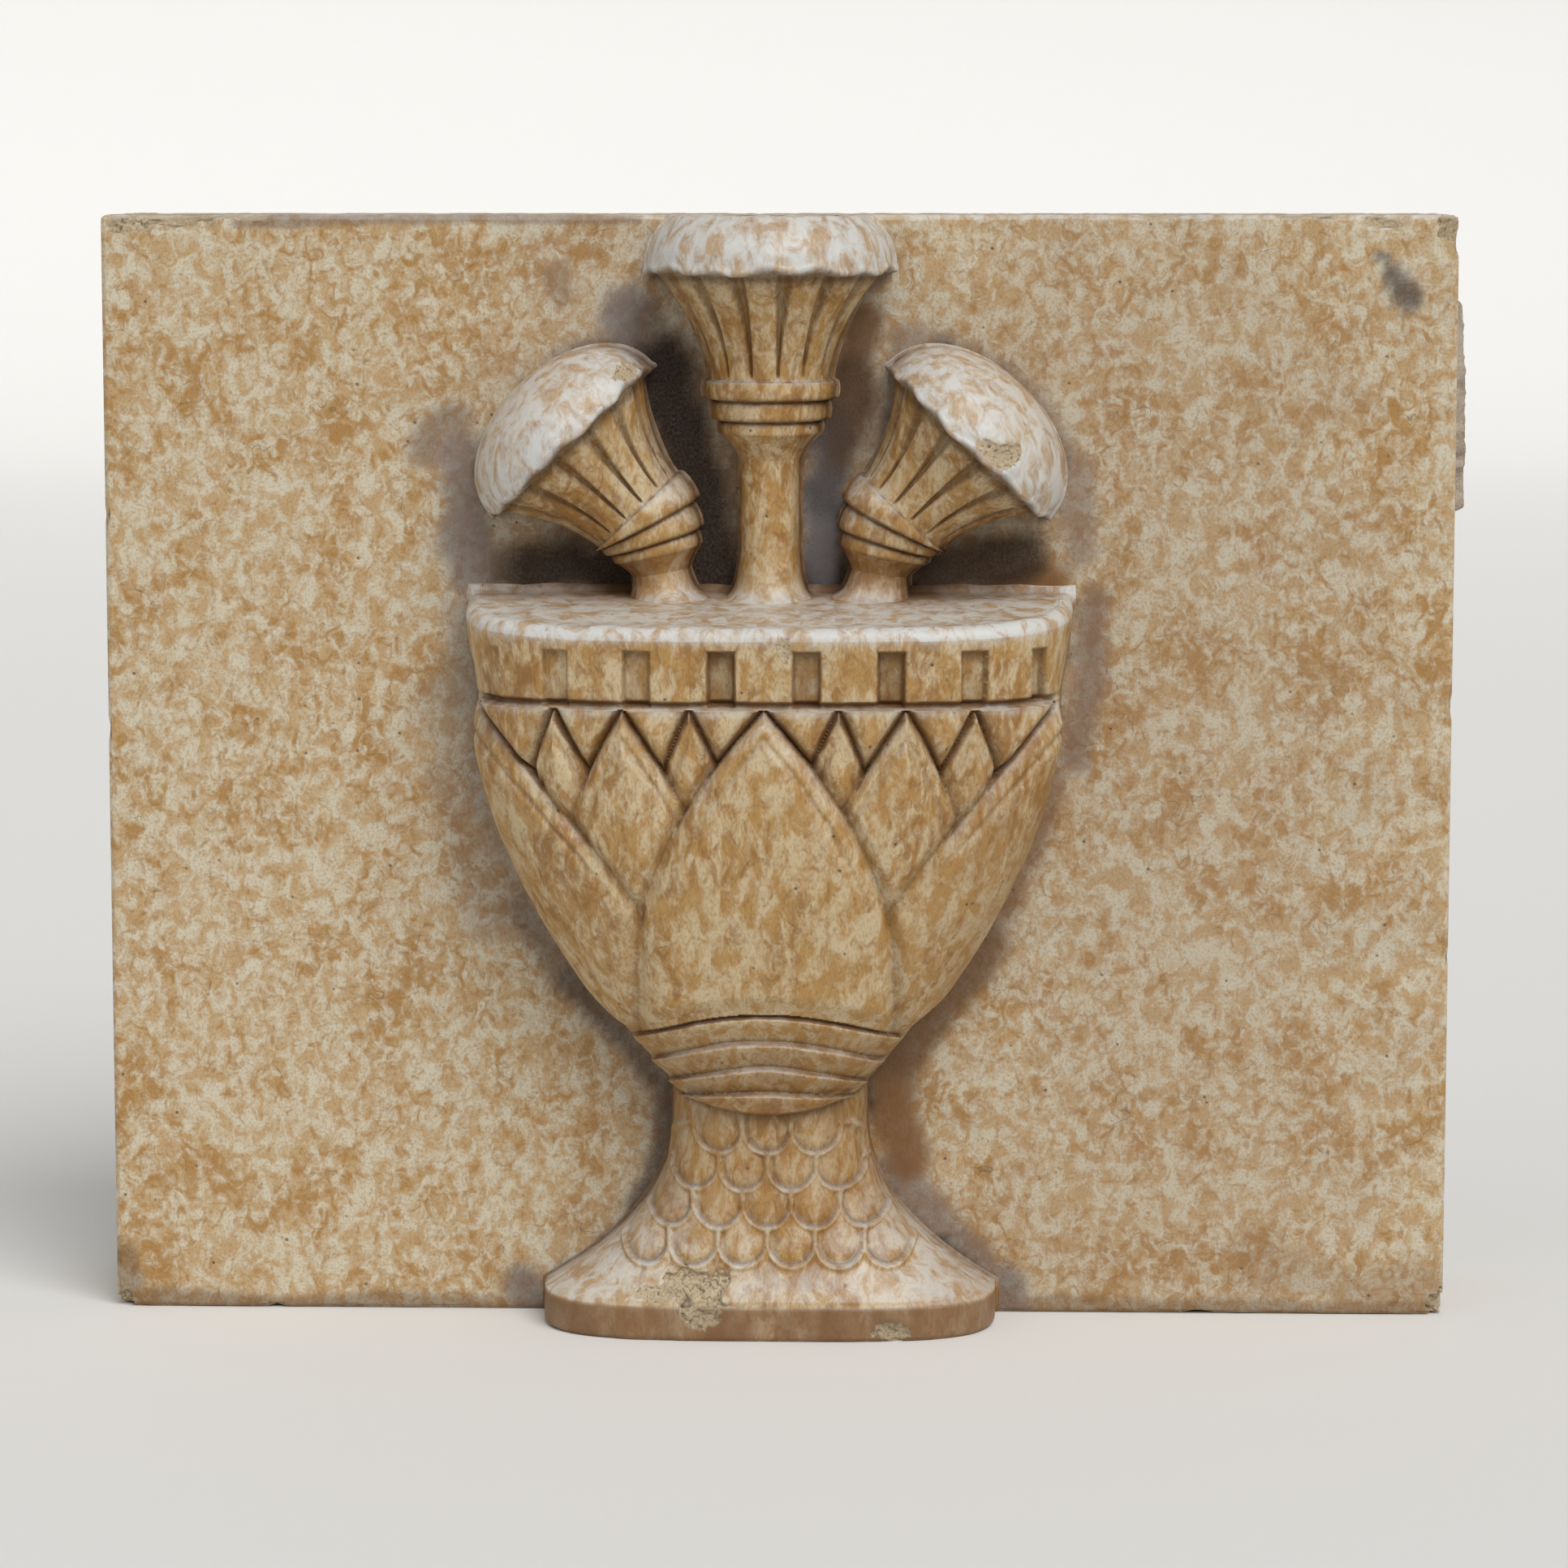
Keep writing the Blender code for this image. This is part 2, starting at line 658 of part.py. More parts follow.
def build_flower(name, sections, where):
    """A solid through sections, each an origin, a direction across and the section's points."""
    bm = bmesh.new()
    rows = []
    for (x, z), (across_x, across_z), points in sections:
        rows.append([bm.verts.new((x + across_x * u, y, z + across_z * u)) for u, y in points])
    for low, high in zip(rows, rows[1:]):
        for step in range(len(low)):
            after = (step + 1) % len(low)
            bm.faces.new((low[step], low[after], high[after], high[step]))
    bm.faces.new(rows[0])
    bm.faces.new(reversed(rows[-1]))
    return add_tool(name, bm, where)


def build_centre_flower(where):
    sections = []
    root = RIM_TOP - WASH_DROP
    for height, radius in ((root, STEM_ROOT_RADIUS), (root + STEM_ROOT_RISE, STEM_RADIUS)):
        sections.append(((URN_X, height), (1.0, 0.0), flower_section(radius, 0.0)))
    stations = flower_stations()
    start = stations[-1][0]
    for distance, radius, flute in stations + dome_stations(start, 1.0, BLOCK_HEIGHT - COLLAR_TOP):
        place = (URN_X, COLLAR_TOP + distance)
        sections.append((place, (1.0, 0.0), flower_section(radius, flute)))
    return build_flower("centre flower", sections, where)


def curve_point(points, share):
    """A point and direction on the cubic curve through four pulls."""
    rest = 1.0 - share
    weights = (rest**3, 3.0 * rest**2 * share, 3.0 * rest * share**2, share**3)
    slopes = (-3.0 * rest**2, 3.0 * rest**2 - 6.0 * rest * share, 6.0 * rest * share - 3.0 * share**2)
    slopes = (*slopes, 3.0 * share**2)
    place = sum((Vector(p) * w for p, w in zip(points, weights)), Vector((0.0, 0.0)))
    direction = sum((Vector(p) * w for p, w in zip(points, slopes)), Vector((0.0, 0.0)))
    return place, direction.normalized()


def build_side_flower(name, side, where):
    """A leaning flower: its stem bends out from the urn, and its bell lies along a straight axis."""
    lean = math.radians(SIDE_LEAN)
    root_lean = math.radians(SIDE_ROOT_LEAN)
    heading = Vector((math.sin(lean), math.cos(lean)))
    root = Vector(SIDE_ROOT)
    collar = Vector(SIDE_COLLAR)
    root_pull = root + SIDE_ROOT_PULL * Vector((math.sin(root_lean), math.cos(root_lean)))
    pulls = (root, root_pull, collar - SIDE_COLLAR_PULL * heading, collar)
    shares = [step / STEM_SAMPLES for step in range(STEM_SAMPLES + 1)]
    samples = [curve_point(pulls, share)[0] for share in shares]
    lengths = [0.0]
    for before, after in zip(samples, samples[1:]):
        lengths.append(lengths[-1] + (after - before).length)
    stations = flower_stations()
    start = stations[-1][0]
    dome = dome_stations(start, SIDE_FLOWER_SIZE, BLOCK_HEIGHT)
    root_foot = -lengths[-1] / SIDE_FLOWER_SIZE
    stem = [(root_foot, STEM_ROOT_RADIUS, 0.0), (root_foot + STEM_ROOT_RISE, STEM_RADIUS, 0.0)]
    sections = []
    for distance, radius, flute in stem + stations + dome:
        along = distance * SIDE_FLOWER_SIZE
        if along < 0.0:
            share = float(np.interp(lengths[-1] + along, lengths, shares))
            place, direction = curve_point(pulls, share)
        else:
            place = collar + heading * along
            direction = heading
        origin = (URN_X + side * place.x, place.y)
        across = (direction.y, -side * direction.x)
        points = flower_section(radius * SIDE_FLOWER_SIZE, flute * SIDE_FLOWER_SIZE)
        sections.append((origin, across, points))
    return build_flower(name, sections, where)


def cell_width():
    return (BLOCK_WIDTH - 2.0 * SIDE_WALL - (CELL_COUNT - 1) * WEB) / CELL_COUNT


def build_cells(where):
    """The open cells of the back between the side walls and the webs."""
    cells = []
    width = cell_width()
    height = BLOCK_HEIGHT - 2.0 * SIDE_WALL
    depth = BLOCK_DEPTH - FACE_WALL + PLUG
    for index in range(CELL_COUNT):
        middle = -BLOCK_WIDTH / 2.0 + SIDE_WALL + width / 2.0 + index * (width + WEB)
        bm = bmesh.new()
        bmesh.ops.create_cube(bm, size=1.0)
        bmesh.ops.scale(bm, vec=(width, depth, height), verts=bm.verts)
        shift = (middle, FACE_WALL + depth / 2.0, BLOCK_HEIGHT / 2.0)
        bmesh.ops.translate(bm, vec=shift, verts=bm.verts)
        upright = [edge for edge in bm.edges if abs(edge.verts[0].co.y - edge.verts[1].co.y) > PLUG]
        corner = {"offset": CELL_CORNER, "segments": 2, "profile": ROUND_PROFILE}
        bmesh.ops.bevel(bm, geom=upright, affect="EDGES", **corner)
        cells.append(add_tool(f"cell {index + 1}", bm, where))
    return cells


def build_urn_hollow(where):
    """The hollow behind the bowl, an even wall inside its front."""
    bm = bmesh.new()
    rows = []
    most = cell_width() / 2.0 - abs(URN_X) - CELL_CORNER
    low = BOWL_BOTTOM + 1.5 * URN_WALL
    high = RIM_TOP - WASH_DROP - URN_WALL
    for level in range(HOLLOW_ROWS + 1):
        z = low + (high - low) * level / HOLLOW_ROWS
        half_width, depth, section = bowl_plan(z)
        reach = min(float(half_width) - URN_WALL, most)
        forward = float(depth) - URN_WALL
        row = [bm.verts.new((URN_X - reach, FACE_WALL + PLUG, z))]
        power = 2.0 / float(section)
        for turn_step in range(HOLLOW_STEPS + 1):
            turn = math.pi * turn_step / HOLLOW_STEPS
            across = -reach * math.copysign(abs(math.cos(turn)) ** power, math.cos(turn))
            y = -forward * math.sin(turn) ** power
            row.append(bm.verts.new((URN_X + across, y, z)))
        row.append(bm.verts.new((URN_X + reach, FACE_WALL + PLUG, z)))
        rows.append(row)
    for below, above in zip(rows, rows[1:]):
        for step in range(len(below)):
            after = (step + 1) % len(below)
            bm.faces.new((below[step], below[after], above[after], above[step]))
    bm.faces.new(rows[0])
    bm.faces.new(reversed(rows[-1]))
    return add_tool("urn hollow", bm, where)


def build_mortar(where):
    """A broken layer of bedding mortar, flat on the block and rough outside."""
    rng = np.random.default_rng(MORTAR_SEED)
    rows = round((MORTAR_TOP - MORTAR_BOTTOM) / MORTAR_CELL)
    columns = round((MORTAR_BACK - MORTAR_FRONT) / MORTAR_CELL)
    inner = BLOCK_WIDTH / 2.0 + MORTAR_GAP
    bm = bmesh.new()
    bottom = []
    top = []
    for row in range(rows + 1):
        height = row / rows
        front = MORTAR_FRONT + rng.uniform(0.0, MORTAR_CELL - MORTAR_EDGE)
        back = MORTAR_BACK - rng.uniform(0.0, MORTAR_CELL - MORTAR_EDGE)
        swell = math.sqrt(math.sin(math.pi * (MORTAR_END_SHARE + (1.0 - 2.0 * MORTAR_END_SHARE) * height)))
        thickness = MORTAR_EDGE + (MORTAR_THICKNESS - MORTAR_EDGE) * swell
        z = MORTAR_BOTTOM + (MORTAR_TOP - MORTAR_BOTTOM) * height
        low_row = []
        high_row = []
        for column in range(columns + 1):
            y = front + (back - front) * column / columns
            grown = thickness - rng.uniform(0.0, MORTAR_ROUGHNESS)
            low_row.append(bm.verts.new((inner, y, z)))
            high_row.append(bm.verts.new((inner + grown, y, z)))
        bottom.append(low_row)
        top.append(high_row)
    for grid in (bottom, top):
        for row in range(rows):
            for column in range(columns):
                corners = (grid[row][column], grid[row][column + 1])
                bm.faces.new((*corners, grid[row + 1][column + 1], grid[row + 1][column]))
    rim = [edge for edge in bm.edges if edge.is_boundary]
    bmesh.ops.bridge_loops(bm, edges=rim)
    return add_object("mortar_remnant", bm, where)


clear_scene()
parts = collection("glazed terracotta panel")
tools = collection("shaping solids")
glaze = material("ochre mottled glaze", (0.55, 0.40, 0.22), 0.3)
mortar = material("pinkish grey mortar", (0.50, 0.42, 0.34), 0.95)

block = build_block(parts)
block.data.materials.append(glaze)
combine(block, build_centre_flower(tools), "UNION")
combine(block, build_side_flower("left flower", -1.0, tools), "UNION")
combine(block, build_side_flower("right flower", 1.0, tools), "UNION")
for cell in build_cells(tools):
    combine(block, cell, "DIFFERENCE")
combine(block, build_urn_hollow(tools), "DIFFERENCE")

remnant = build_mortar(parts)
remnant.data.materials.append(mortar)
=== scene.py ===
"""A glazed terracotta wall block with an urn of papyrus flowers in high relief, dressed for the camera.

The script follows the block as it is made: the pressed block, the urn on its face, the three
flowers, the mortar left from the next joint, and last the floor, the lights and the camera.
Lengths are in metres, +Z is up, and the glazed face lies in y = 0 and looks along -Y.
"""

import math

import bmesh
import bpy
import numpy as np
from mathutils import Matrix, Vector
from mathutils.bvhtree import BVHTree
from mathutils.kdtree import KDTree


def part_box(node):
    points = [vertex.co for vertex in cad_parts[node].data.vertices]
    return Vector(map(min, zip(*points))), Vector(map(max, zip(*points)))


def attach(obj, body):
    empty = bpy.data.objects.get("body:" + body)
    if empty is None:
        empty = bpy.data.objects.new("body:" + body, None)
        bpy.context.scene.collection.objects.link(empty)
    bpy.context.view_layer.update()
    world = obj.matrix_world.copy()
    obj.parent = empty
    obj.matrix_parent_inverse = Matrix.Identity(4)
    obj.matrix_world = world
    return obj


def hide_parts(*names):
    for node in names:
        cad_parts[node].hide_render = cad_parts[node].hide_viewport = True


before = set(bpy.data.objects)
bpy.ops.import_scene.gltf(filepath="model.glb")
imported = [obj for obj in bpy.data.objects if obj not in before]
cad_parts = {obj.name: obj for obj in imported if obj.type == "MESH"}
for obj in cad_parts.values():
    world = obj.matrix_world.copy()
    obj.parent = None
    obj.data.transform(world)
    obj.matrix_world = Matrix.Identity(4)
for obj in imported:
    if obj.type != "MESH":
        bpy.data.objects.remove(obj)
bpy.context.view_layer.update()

# The glaze and the clay under it
# Buff fireclay, pressed in a plaster mould and fired, under an opaque tin glaze sponged with ochre.
# The glaze has run a little, crazed and worn thin on the edges, with painted highlight there, and dirt and painted
# shade sit in the hollows.
BLOTCH_SIZE = 0.0060
WASH_SIZE = 0.0080
CLUSTER_SIZE = 0.030
CLOUD_SIZE = 0.110
GRAIN_SIZE = 0.0011
CRAZE_SPACING = 0.060
CRAZE_WIDTH = 0.00026
PIT_SPACING = 0.011
PIT_RADIUS = 0.00045
CLAY = "#c6b598"
CLAY_DARK = "#a48f70"
CLAY_GRAIN_SIZE = 0.0011
UMBER = "#80572a"
# Mark colours: near black for dirt and painted shade, grey for soot and painted shade, pale for bloom and painted
# highlight
DARK_DIRT_AND_SHADE = "#1c100b"
SOOT_AND_SHADE_GREY = "#767277"
BLOOM_AND_HIGHLIGHT = "#cccbc7"
CRAZE_COLOUR = "#54432f"


def linear(colour):
    """An sRGB hex colour as linear red, green, blue and alpha."""
    shares = [int(colour[place : place + 2], 16) / 255.0 for place in (1, 3, 5)]
    return (*[s / 12.92 if s <= 0.04045 else ((s + 0.055) / 1.055) ** 2.4 for s in shares], 1.0)


def add_node(tree, kind, inputs=None, stops=None, **settings):
    """Adds a node with its settings, its inputs as plain values or links, and a ramp's stops."""
    node = tree.nodes.new(kind)
    for name, value in settings.items():
        setattr(node, name, value)
    for name, value in (inputs or {}).items():
        if isinstance(value, bpy.types.NodeSocket):
            tree.links.new(value, node.inputs[name])
        else:
            node.inputs[name].default_value = value
    if stops:
        ramp = node.color_ramp
        while len(ramp.elements) < len(stops):
            ramp.elements.new(0.5)
        for element, (place, colour) in zip(ramp.elements, stops):
            element.position = place
            element.color = colour if len(colour) == 4 else linear(colour)
    return node


# A mix node takes its colours at these inputs and gives the mixed colour at this output
FACTOR, UNDER, OVER, MIXED = 0, 6, 7, 2


def sponged_glaze(name, cream, wash, ochre, grime_and_shade, run_share):
    """Tin glaze, satin, sponged with washes of tan and blots of ochre that ran a little as they melted.

    The marks on a mesh say where dirt, soot, stain and painted shade lie, where the glaze is worn pale or painted pale
    as a highlight, and where it has come off and shows the matt, gritty clay.
    """
    made = bpy.data.materials.new(name)
    made.use_nodes = True
    tree = made.node_tree
    shader = tree.nodes["Principled BSDF"]
    place = add_node(tree, "ShaderNodeTexCoord").outputs["Object"]
    run = add_node(tree, "ShaderNodeMapping", {"Vector": place, "Scale": (1.0, 1.0, run_share)}).outputs[0]
    apart = add_node(tree, "ShaderNodeMapping", {"Vector": run, "Location": (0.7, 0.3, 0.9)}).outputs[0]
    cloud = add_node(
        tree, "ShaderNodeTexNoise", {"Vector": place, "Scale": 1.0 / CLOUD_SIZE, "Detail": 2.0}
    ).outputs["Fac"]
    cluster = add_node(
        tree, "ShaderNodeTexNoise", {"Vector": apart, "Scale": 1.0 / CLUSTER_SIZE, "Detail": 2.0}
    ).outputs["Fac"]
    grain = add_node(
        tree, "ShaderNodeTexNoise", {"Vector": run, "Scale": 1.0 / GRAIN_SIZE, "Detail": 3.0}
    ).outputs["Fac"]
    washes = add_node(
        tree,
        "ShaderNodeTexNoise",
        {"Vector": run, "Scale": 1.0 / WASH_SIZE, "Detail": 5.0, "Roughness": 0.66, "Distortion": 0.6},
    ).outputs["Fac"]
    blots = add_node(
        tree,
        "ShaderNodeTexNoise",
        {"Vector": apart, "Scale": 1.0 / BLOTCH_SIZE, "Detail": 5.0, "Roughness": 0.62, "Distortion": 0.8},
    ).outputs["Fac"]
    wash_share = add_node(
        tree, "ShaderNodeMapRange", {"Value": washes, "From Min": 0.40, "From Max": 0.60}, interpolation_type="SMOOTHSTEP"
    ).outputs[0]
    washed = add_node(
        tree, "ShaderNodeMix", {FACTOR: wash_share, UNDER: linear(cream), OVER: linear(wash)}, data_type="RGBA"
    ).outputs[MIXED]
    gathered = add_node(
        tree, "ShaderNodeMath", {0: cluster, 1: 0.55, 2: blots}, operation="MULTIPLY_ADD"
    ).outputs[0]
    drifted = add_node(
        tree, "ShaderNodeMath", {0: cloud, 1: 0.25, 2: gathered}, operation="MULTIPLY_ADD"
    ).outputs[0]
    blot_share = add_node(
        tree,
        "ShaderNodeMapRange",
        {"Value": drifted, "From Min": 0.86, "From Max": 1.10, "To Max": 0.85},
        interpolation_type="SMOOTHSTEP",
    ).outputs[0]
    sponged = add_node(
        tree, "ShaderNodeMix", {FACTOR: blot_share, UNDER: washed, OVER: linear(ochre)}, data_type="RGBA"
    ).outputs[MIXED]
    specks = add_node(
        tree, "ShaderNodeMapRange", {"Value": grain, "From Min": 0.48, "From Max": 0.80, "To Max": 0.55}
    ).outputs[0]
    glaze = add_node(
        tree, "ShaderNodeMix", {FACTOR: specks, UNDER: sponged, OVER: linear(UMBER)}, data_type="RGBA"
    ).outputs[MIXED]

    # Crazing: thin dark lines, only where the glaze lies thick
    bent = add_node(
        tree,
        "ShaderNodeTexNoise",
        {"Vector": place, "Scale": 1.0 / (CRAZE_SPACING * 0.35), "Detail": 2.0},
    ).outputs["Color"]
    centred = add_node(tree, "ShaderNodeVectorMath", {0: bent, 1: (0.5, 0.5, 0.5)}, operation="SUBTRACT")
    pushed = add_node(
        tree,
        "ShaderNodeVectorMath",
        {0: centred.outputs[0], 1: (0.035, 0.035, 0.035), 2: place},
        operation="MULTIPLY_ADD",
    ).outputs[0]
    crazing = add_node(
        tree,
        "ShaderNodeTexVoronoi",
        {"Vector": pushed, "Scale": 1.0 / CRAZE_SPACING},
        feature="DISTANCE_TO_EDGE",
    ).outputs["Distance"]
    line = add_node(
        tree,
        "ShaderNodeMapRange",
        {"Value": crazing, "From Min": 0.0, "From Max": CRAZE_WIDTH / CRAZE_SPACING, "To Min": 1.0, "To Max": 0.0},
    ).outputs[0]
    shown = add_node(
        tree, "ShaderNodeMapRange", {"Value": cluster, "From Min": 0.50, "From Max": 0.60}
    ).outputs[0]
    craze = add_node(tree, "ShaderNodeMath", {0: line, 1: shown}, operation="MULTIPLY").outputs[0]
    craze_share = add_node(tree, "ShaderNodeMath", {0: craze, 1: 0.6}, operation="MULTIPLY").outputs[0]
    crazed = add_node(
        tree,
        "ShaderNodeMix",
        {FACTOR: craze_share, UNDER: glaze, OVER: linear(CRAZE_COLOUR)},
        data_type="RGBA",
    ).outputs[MIXED]

    pit_cell = add_node(tree, "ShaderNodeTexVoronoi", {"Vector": place, "Scale": 1.0 / PIT_SPACING})
    pit = add_node(
        tree,
        "ShaderNodeMapRange",
        {
            "Value": pit_cell.outputs["Distance"],
            "From Min": PIT_RADIUS / PIT_SPACING,
            "From Max": 2.2 * PIT_RADIUS / PIT_SPACING,
            "To Min": 1.0,
            "To Max": 0.0,
        },
    ).outputs[0]
    chosen = add_node(
        tree, "ShaderNodeMath", {0: pit_cell.outputs["Color"], 1: 0.62}, operation="GREATER_THAN"
    ).outputs[0]
    pits = add_node(tree, "ShaderNodeMath", {0: pit, 1: chosen}, operation="MULTIPLY").outputs[0]
    pit_share = add_node(tree, "ShaderNodeMath", {0: pits, 1: 0.7}, operation="MULTIPLY").outputs[0]
    pitted = add_node(
        tree, "ShaderNodeMix", {FACTOR: pit_share, UNDER: crazed, OVER: linear(DARK_DIRT_AND_SHADE)}, data_type="RGBA"
    ).outputs[MIXED]

    # Painted top light and wear: the glaze is painted pale where it faces up and on the worn arrises and caps, which
    # also carry painted highlight, in streaks that run outward
    facing = add_node(tree, "ShaderNodeNewGeometry").outputs["Normal"]
    upward = add_node(tree, "ShaderNodeSeparateXYZ", {0: facing}).outputs["Z"]
    painted_top_light = add_node(
        tree, "ShaderNodeMapRange", {"Value": upward, "From Min": 0.15, "From Max": 0.75, "To Max": 0.80}
    ).outputs[0]
    worn = add_node(tree, "ShaderNodeAttribute", attribute_name="worn").outputs["Fac"]
    most = add_node(tree, "ShaderNodeMath", {0: painted_top_light, 1: worn}, operation="MAXIMUM").outputs[0]
    patchy = add_node(
        tree,
        "ShaderNodeMapRange",
        {"Value": washes, "From Min": 0.62, "From Max": 0.42, "To Min": 0.25, "To Max": 1.0},
    ).outputs[0]
    bloom_and_highlight = add_node(tree, "ShaderNodeMath", {0: most, 1: patchy}, operation="MULTIPLY").outputs[0]
    bloomed_and_highlighted = add_node(
        tree, "ShaderNodeMix", {FACTOR: bloom_and_highlight, UNDER: pitted, OVER: linear(BLOOM_AND_HIGHLIGHT)}, data_type="RGBA"
    ).outputs[MIXED]

    # Soot, stain and dirt, each also carrying painted shade in the hollows, under the relief and beside it
    soot_and_shade = add_node(tree, "ShaderNodeAttribute", attribute_name="soot_and_shade").outputs["Fac"]
    sooty_and_shaded = add_node(
        tree, "ShaderNodeMix", {FACTOR: soot_and_shade, UNDER: bloomed_and_highlighted, OVER: linear(SOOT_AND_SHADE_GREY)}, data_type="RGBA"
    ).outputs[MIXED]
    stain_and_shade = add_node(tree, "ShaderNodeAttribute", attribute_name="stain_and_shade").outputs["Fac"]
    stained_and_shaded = add_node(
        tree, "ShaderNodeMix", {FACTOR: stain_and_shade, UNDER: sooty_and_shaded, OVER: linear(UMBER)}, data_type="RGBA"
    ).outputs[MIXED]
    dirt_and_shade = add_node(tree, "ShaderNodeAttribute", attribute_name="dirt_and_shade").outputs["Fac"]
    broken_dirt_and_shade = add_node(
        tree, "ShaderNodeMapRange", {"Value": grain, "From Min": 0.25, "From Max": 0.65, "To Min": 0.82}
    ).outputs[0]
    dirt_and_shade_share = add_node(tree, "ShaderNodeMath", {0: dirt_and_shade, 1: broken_dirt_and_shade}, operation="MULTIPLY").outputs[0]
    dirty_and_shaded = add_node(
        tree, "ShaderNodeMix", {FACTOR: dirt_and_shade_share, UNDER: stained_and_shaded, OVER: linear(grime_and_shade)}, data_type="RGBA"
    ).outputs[MIXED]

    clay_grain = add_node(
        tree,
        "ShaderNodeTexNoise",
        {"Vector": place, "Scale": 1.0 / CLAY_GRAIN_SIZE, "Detail": 4.0, "Roughness": 0.7},
    ).outputs["Fac"]
    clay_cloud = add_node(
        tree, "ShaderNodeMath", {0: cluster, 1: 0.5, 2: clay_grain}, operation="MULTIPLY_ADD"
    ).outputs[0]
    clay = add_node(
        tree, "ShaderNodeValToRGB", {"Fac": clay_cloud}, stops=[(0.6, CLAY_DARK), (0.85, CLAY)]
    ).outputs["Color"]
    clay_dirty_and_shaded = add_node(
        tree, "ShaderNodeMix", {FACTOR: dirt_and_shade_share, UNDER: clay, OVER: linear(DARK_DIRT_AND_SHADE)}, data_type="RGBA"
    ).outputs[MIXED]
    raw = add_node(tree, "ShaderNodeAttribute", attribute_name="raw").outputs["Fac"]
    surface = add_node(
        tree, "ShaderNodeMix", {FACTOR: raw, UNDER: dirty_and_shaded, OVER: clay_dirty_and_shaded}, data_type="RGBA"
    ).outputs[MIXED]
    tree.links.new(surface, shader.inputs["Base Color"])

    satin = add_node(
        tree,
        "ShaderNodeMapRange",
        {"Value": washes, "From Min": 0.3, "From Max": 0.7, "To Min": 0.50, "To Max": 0.38},
    ).outputs[0]
    soiled = add_node(tree, "ShaderNodeMath", {0: dirt_and_shade, 1: 0.4, 2: satin}, operation="MULTIPLY_ADD").outputs[0]
    rough = add_node(
        tree, "ShaderNodeMath", {0: raw, 1: 0.5, 2: soiled}, operation="MULTIPLY_ADD", use_clamp=True
    ).outputs[0]
    tree.links.new(rough, shader.inputs["Roughness"])
    shader.inputs["IOR"].default_value = 1.5

    skin = add_node(tree, "ShaderNodeMath", {0: cluster, 1: 0.8, 2: grain}, operation="MULTIPLY_ADD").outputs[0]
    holed = add_node(tree, "ShaderNodeMath", {0: pits, 1: -1.5, 2: skin}, operation="MULTIPLY_ADD").outputs[0]
    coarse = add_node(tree, "ShaderNodeMath", {0: clay_grain, 1: raw}, operation="MULTIPLY").outputs[0]
    height = add_node(tree, "ShaderNodeMath", {0: coarse, 1: 3.0, 2: holed}, operation="MULTIPLY_ADD").outputs[0]
    bump = add_node(tree, "ShaderNodeBump", {"Height": height, "Strength": 0.45, "Distance": 0.0005})
    tree.links.new(bump.outputs["Normal"], shader.inputs["Normal"])
    return made


face_glaze = sponged_glaze("sponged_glaze_on_the_face", "#cdc3ab", "#bb9d72", "#a37632", DARK_DIRT_AND_SHADE, 0.85)

# The wall block
# One pressing of buff clay with three open cells at its back, between side walls and two webs.
# The glaze laps over the front arrises, and the beds, joints and back are bare clay.
BLOCK_LOW, BLOCK_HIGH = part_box("glazed_block")
BLOCK_LEFT, BLOCK_RIGHT = BLOCK_LOW.x, BLOCK_HIGH.x
BLOCK_TOP, BLOCK_BACK = BLOCK_HIGH.z, BLOCK_HIGH.y
FACE_WALL = 0.034
SIDE_WALL = 0.030
WEB = 0.026
CELLS = 3
CELL_CORNER = 0.008
ARRIS = 0.0028
FINE_STEP = 0.0009
COARSE_STEP = 0.004
FINE_BAND = 0.018
GLAZE_LAP = 0.009

# Where the photograph was taken from: the scale at the wall, and the level with the block's top
PHOTO_SIZE = 1932.0
PHOTO_SCALE = 0.36858e-3
PHOTO_MIDDLE_X = 957.5
PHOTO_BED_Y = 1628.0
EYE = Vector((0.075, -2.3, 0.521))


def from_photo(x, y, depth=0.0):
    """The place (x, z) that a pixel of the photograph shows, at a depth before the glazed face."""
    shrink = (-EYE.y - depth) / -EYE.y
    across = (x - PHOTO_MIDDLE_X) * PHOTO_SCALE
    up = (PHOTO_BED_Y - y) * PHOTO_SCALE
    return EYE.x + (across - EYE.x) * shrink, EYE.z + (up - EYE.z) * shrink


def ease(share):
    held = np.clip(share, 0.0, 1.0)
    return held * held * (3.0 - 2.0 * held)


def wander(points, size, seed):
    """Smooth noise between -1 and 1 at points (n, 3), with lumps about size across."""
    lattice = np.random.default_rng(seed).uniform(-1.0, 1.0, (32, 32, 32))
    scaled = points / size + 1000.0
    cell = np.floor(scaled).astype(int)
    share = scaled - cell
    share = share * share * (3.0 - 2.0 * share)
    total = np.zeros(len(points))
    for corner in np.ndindex(2, 2, 2):
        weight = np.prod(np.where(corner, share, 1.0 - share), axis=-1)
        spot = (cell + corner) % 32
        total += weight * lattice[spot[:, 0], spot[:, 1], spot[:, 2]]
    return total


def graded(low, high, fine_low, fine_high):
    """Places from low to high, closer together near an end where fine is asked for."""
    places = [low]
    while places[-1] < high - 1e-6:
        here = places[-1]
        near = (fine_low and here < low + FINE_BAND) or (fine_high and here > high - FINE_BAND - COARSE_STEP)
        places.append(min(here + (FINE_STEP if near else COARSE_STEP), high))
    if places[-1] - places[-2] < FINE_STEP / 3.0:
        del places[-2]
    return np.array(places)


def grid_faces(rows, columns):
    index = np.arange(rows * columns).reshape(rows, columns)
    return np.stack((index[:-1, :-1], index[:-1, 1:], index[1:, 1:], index[1:, :-1]), -1).reshape(-1, 4)


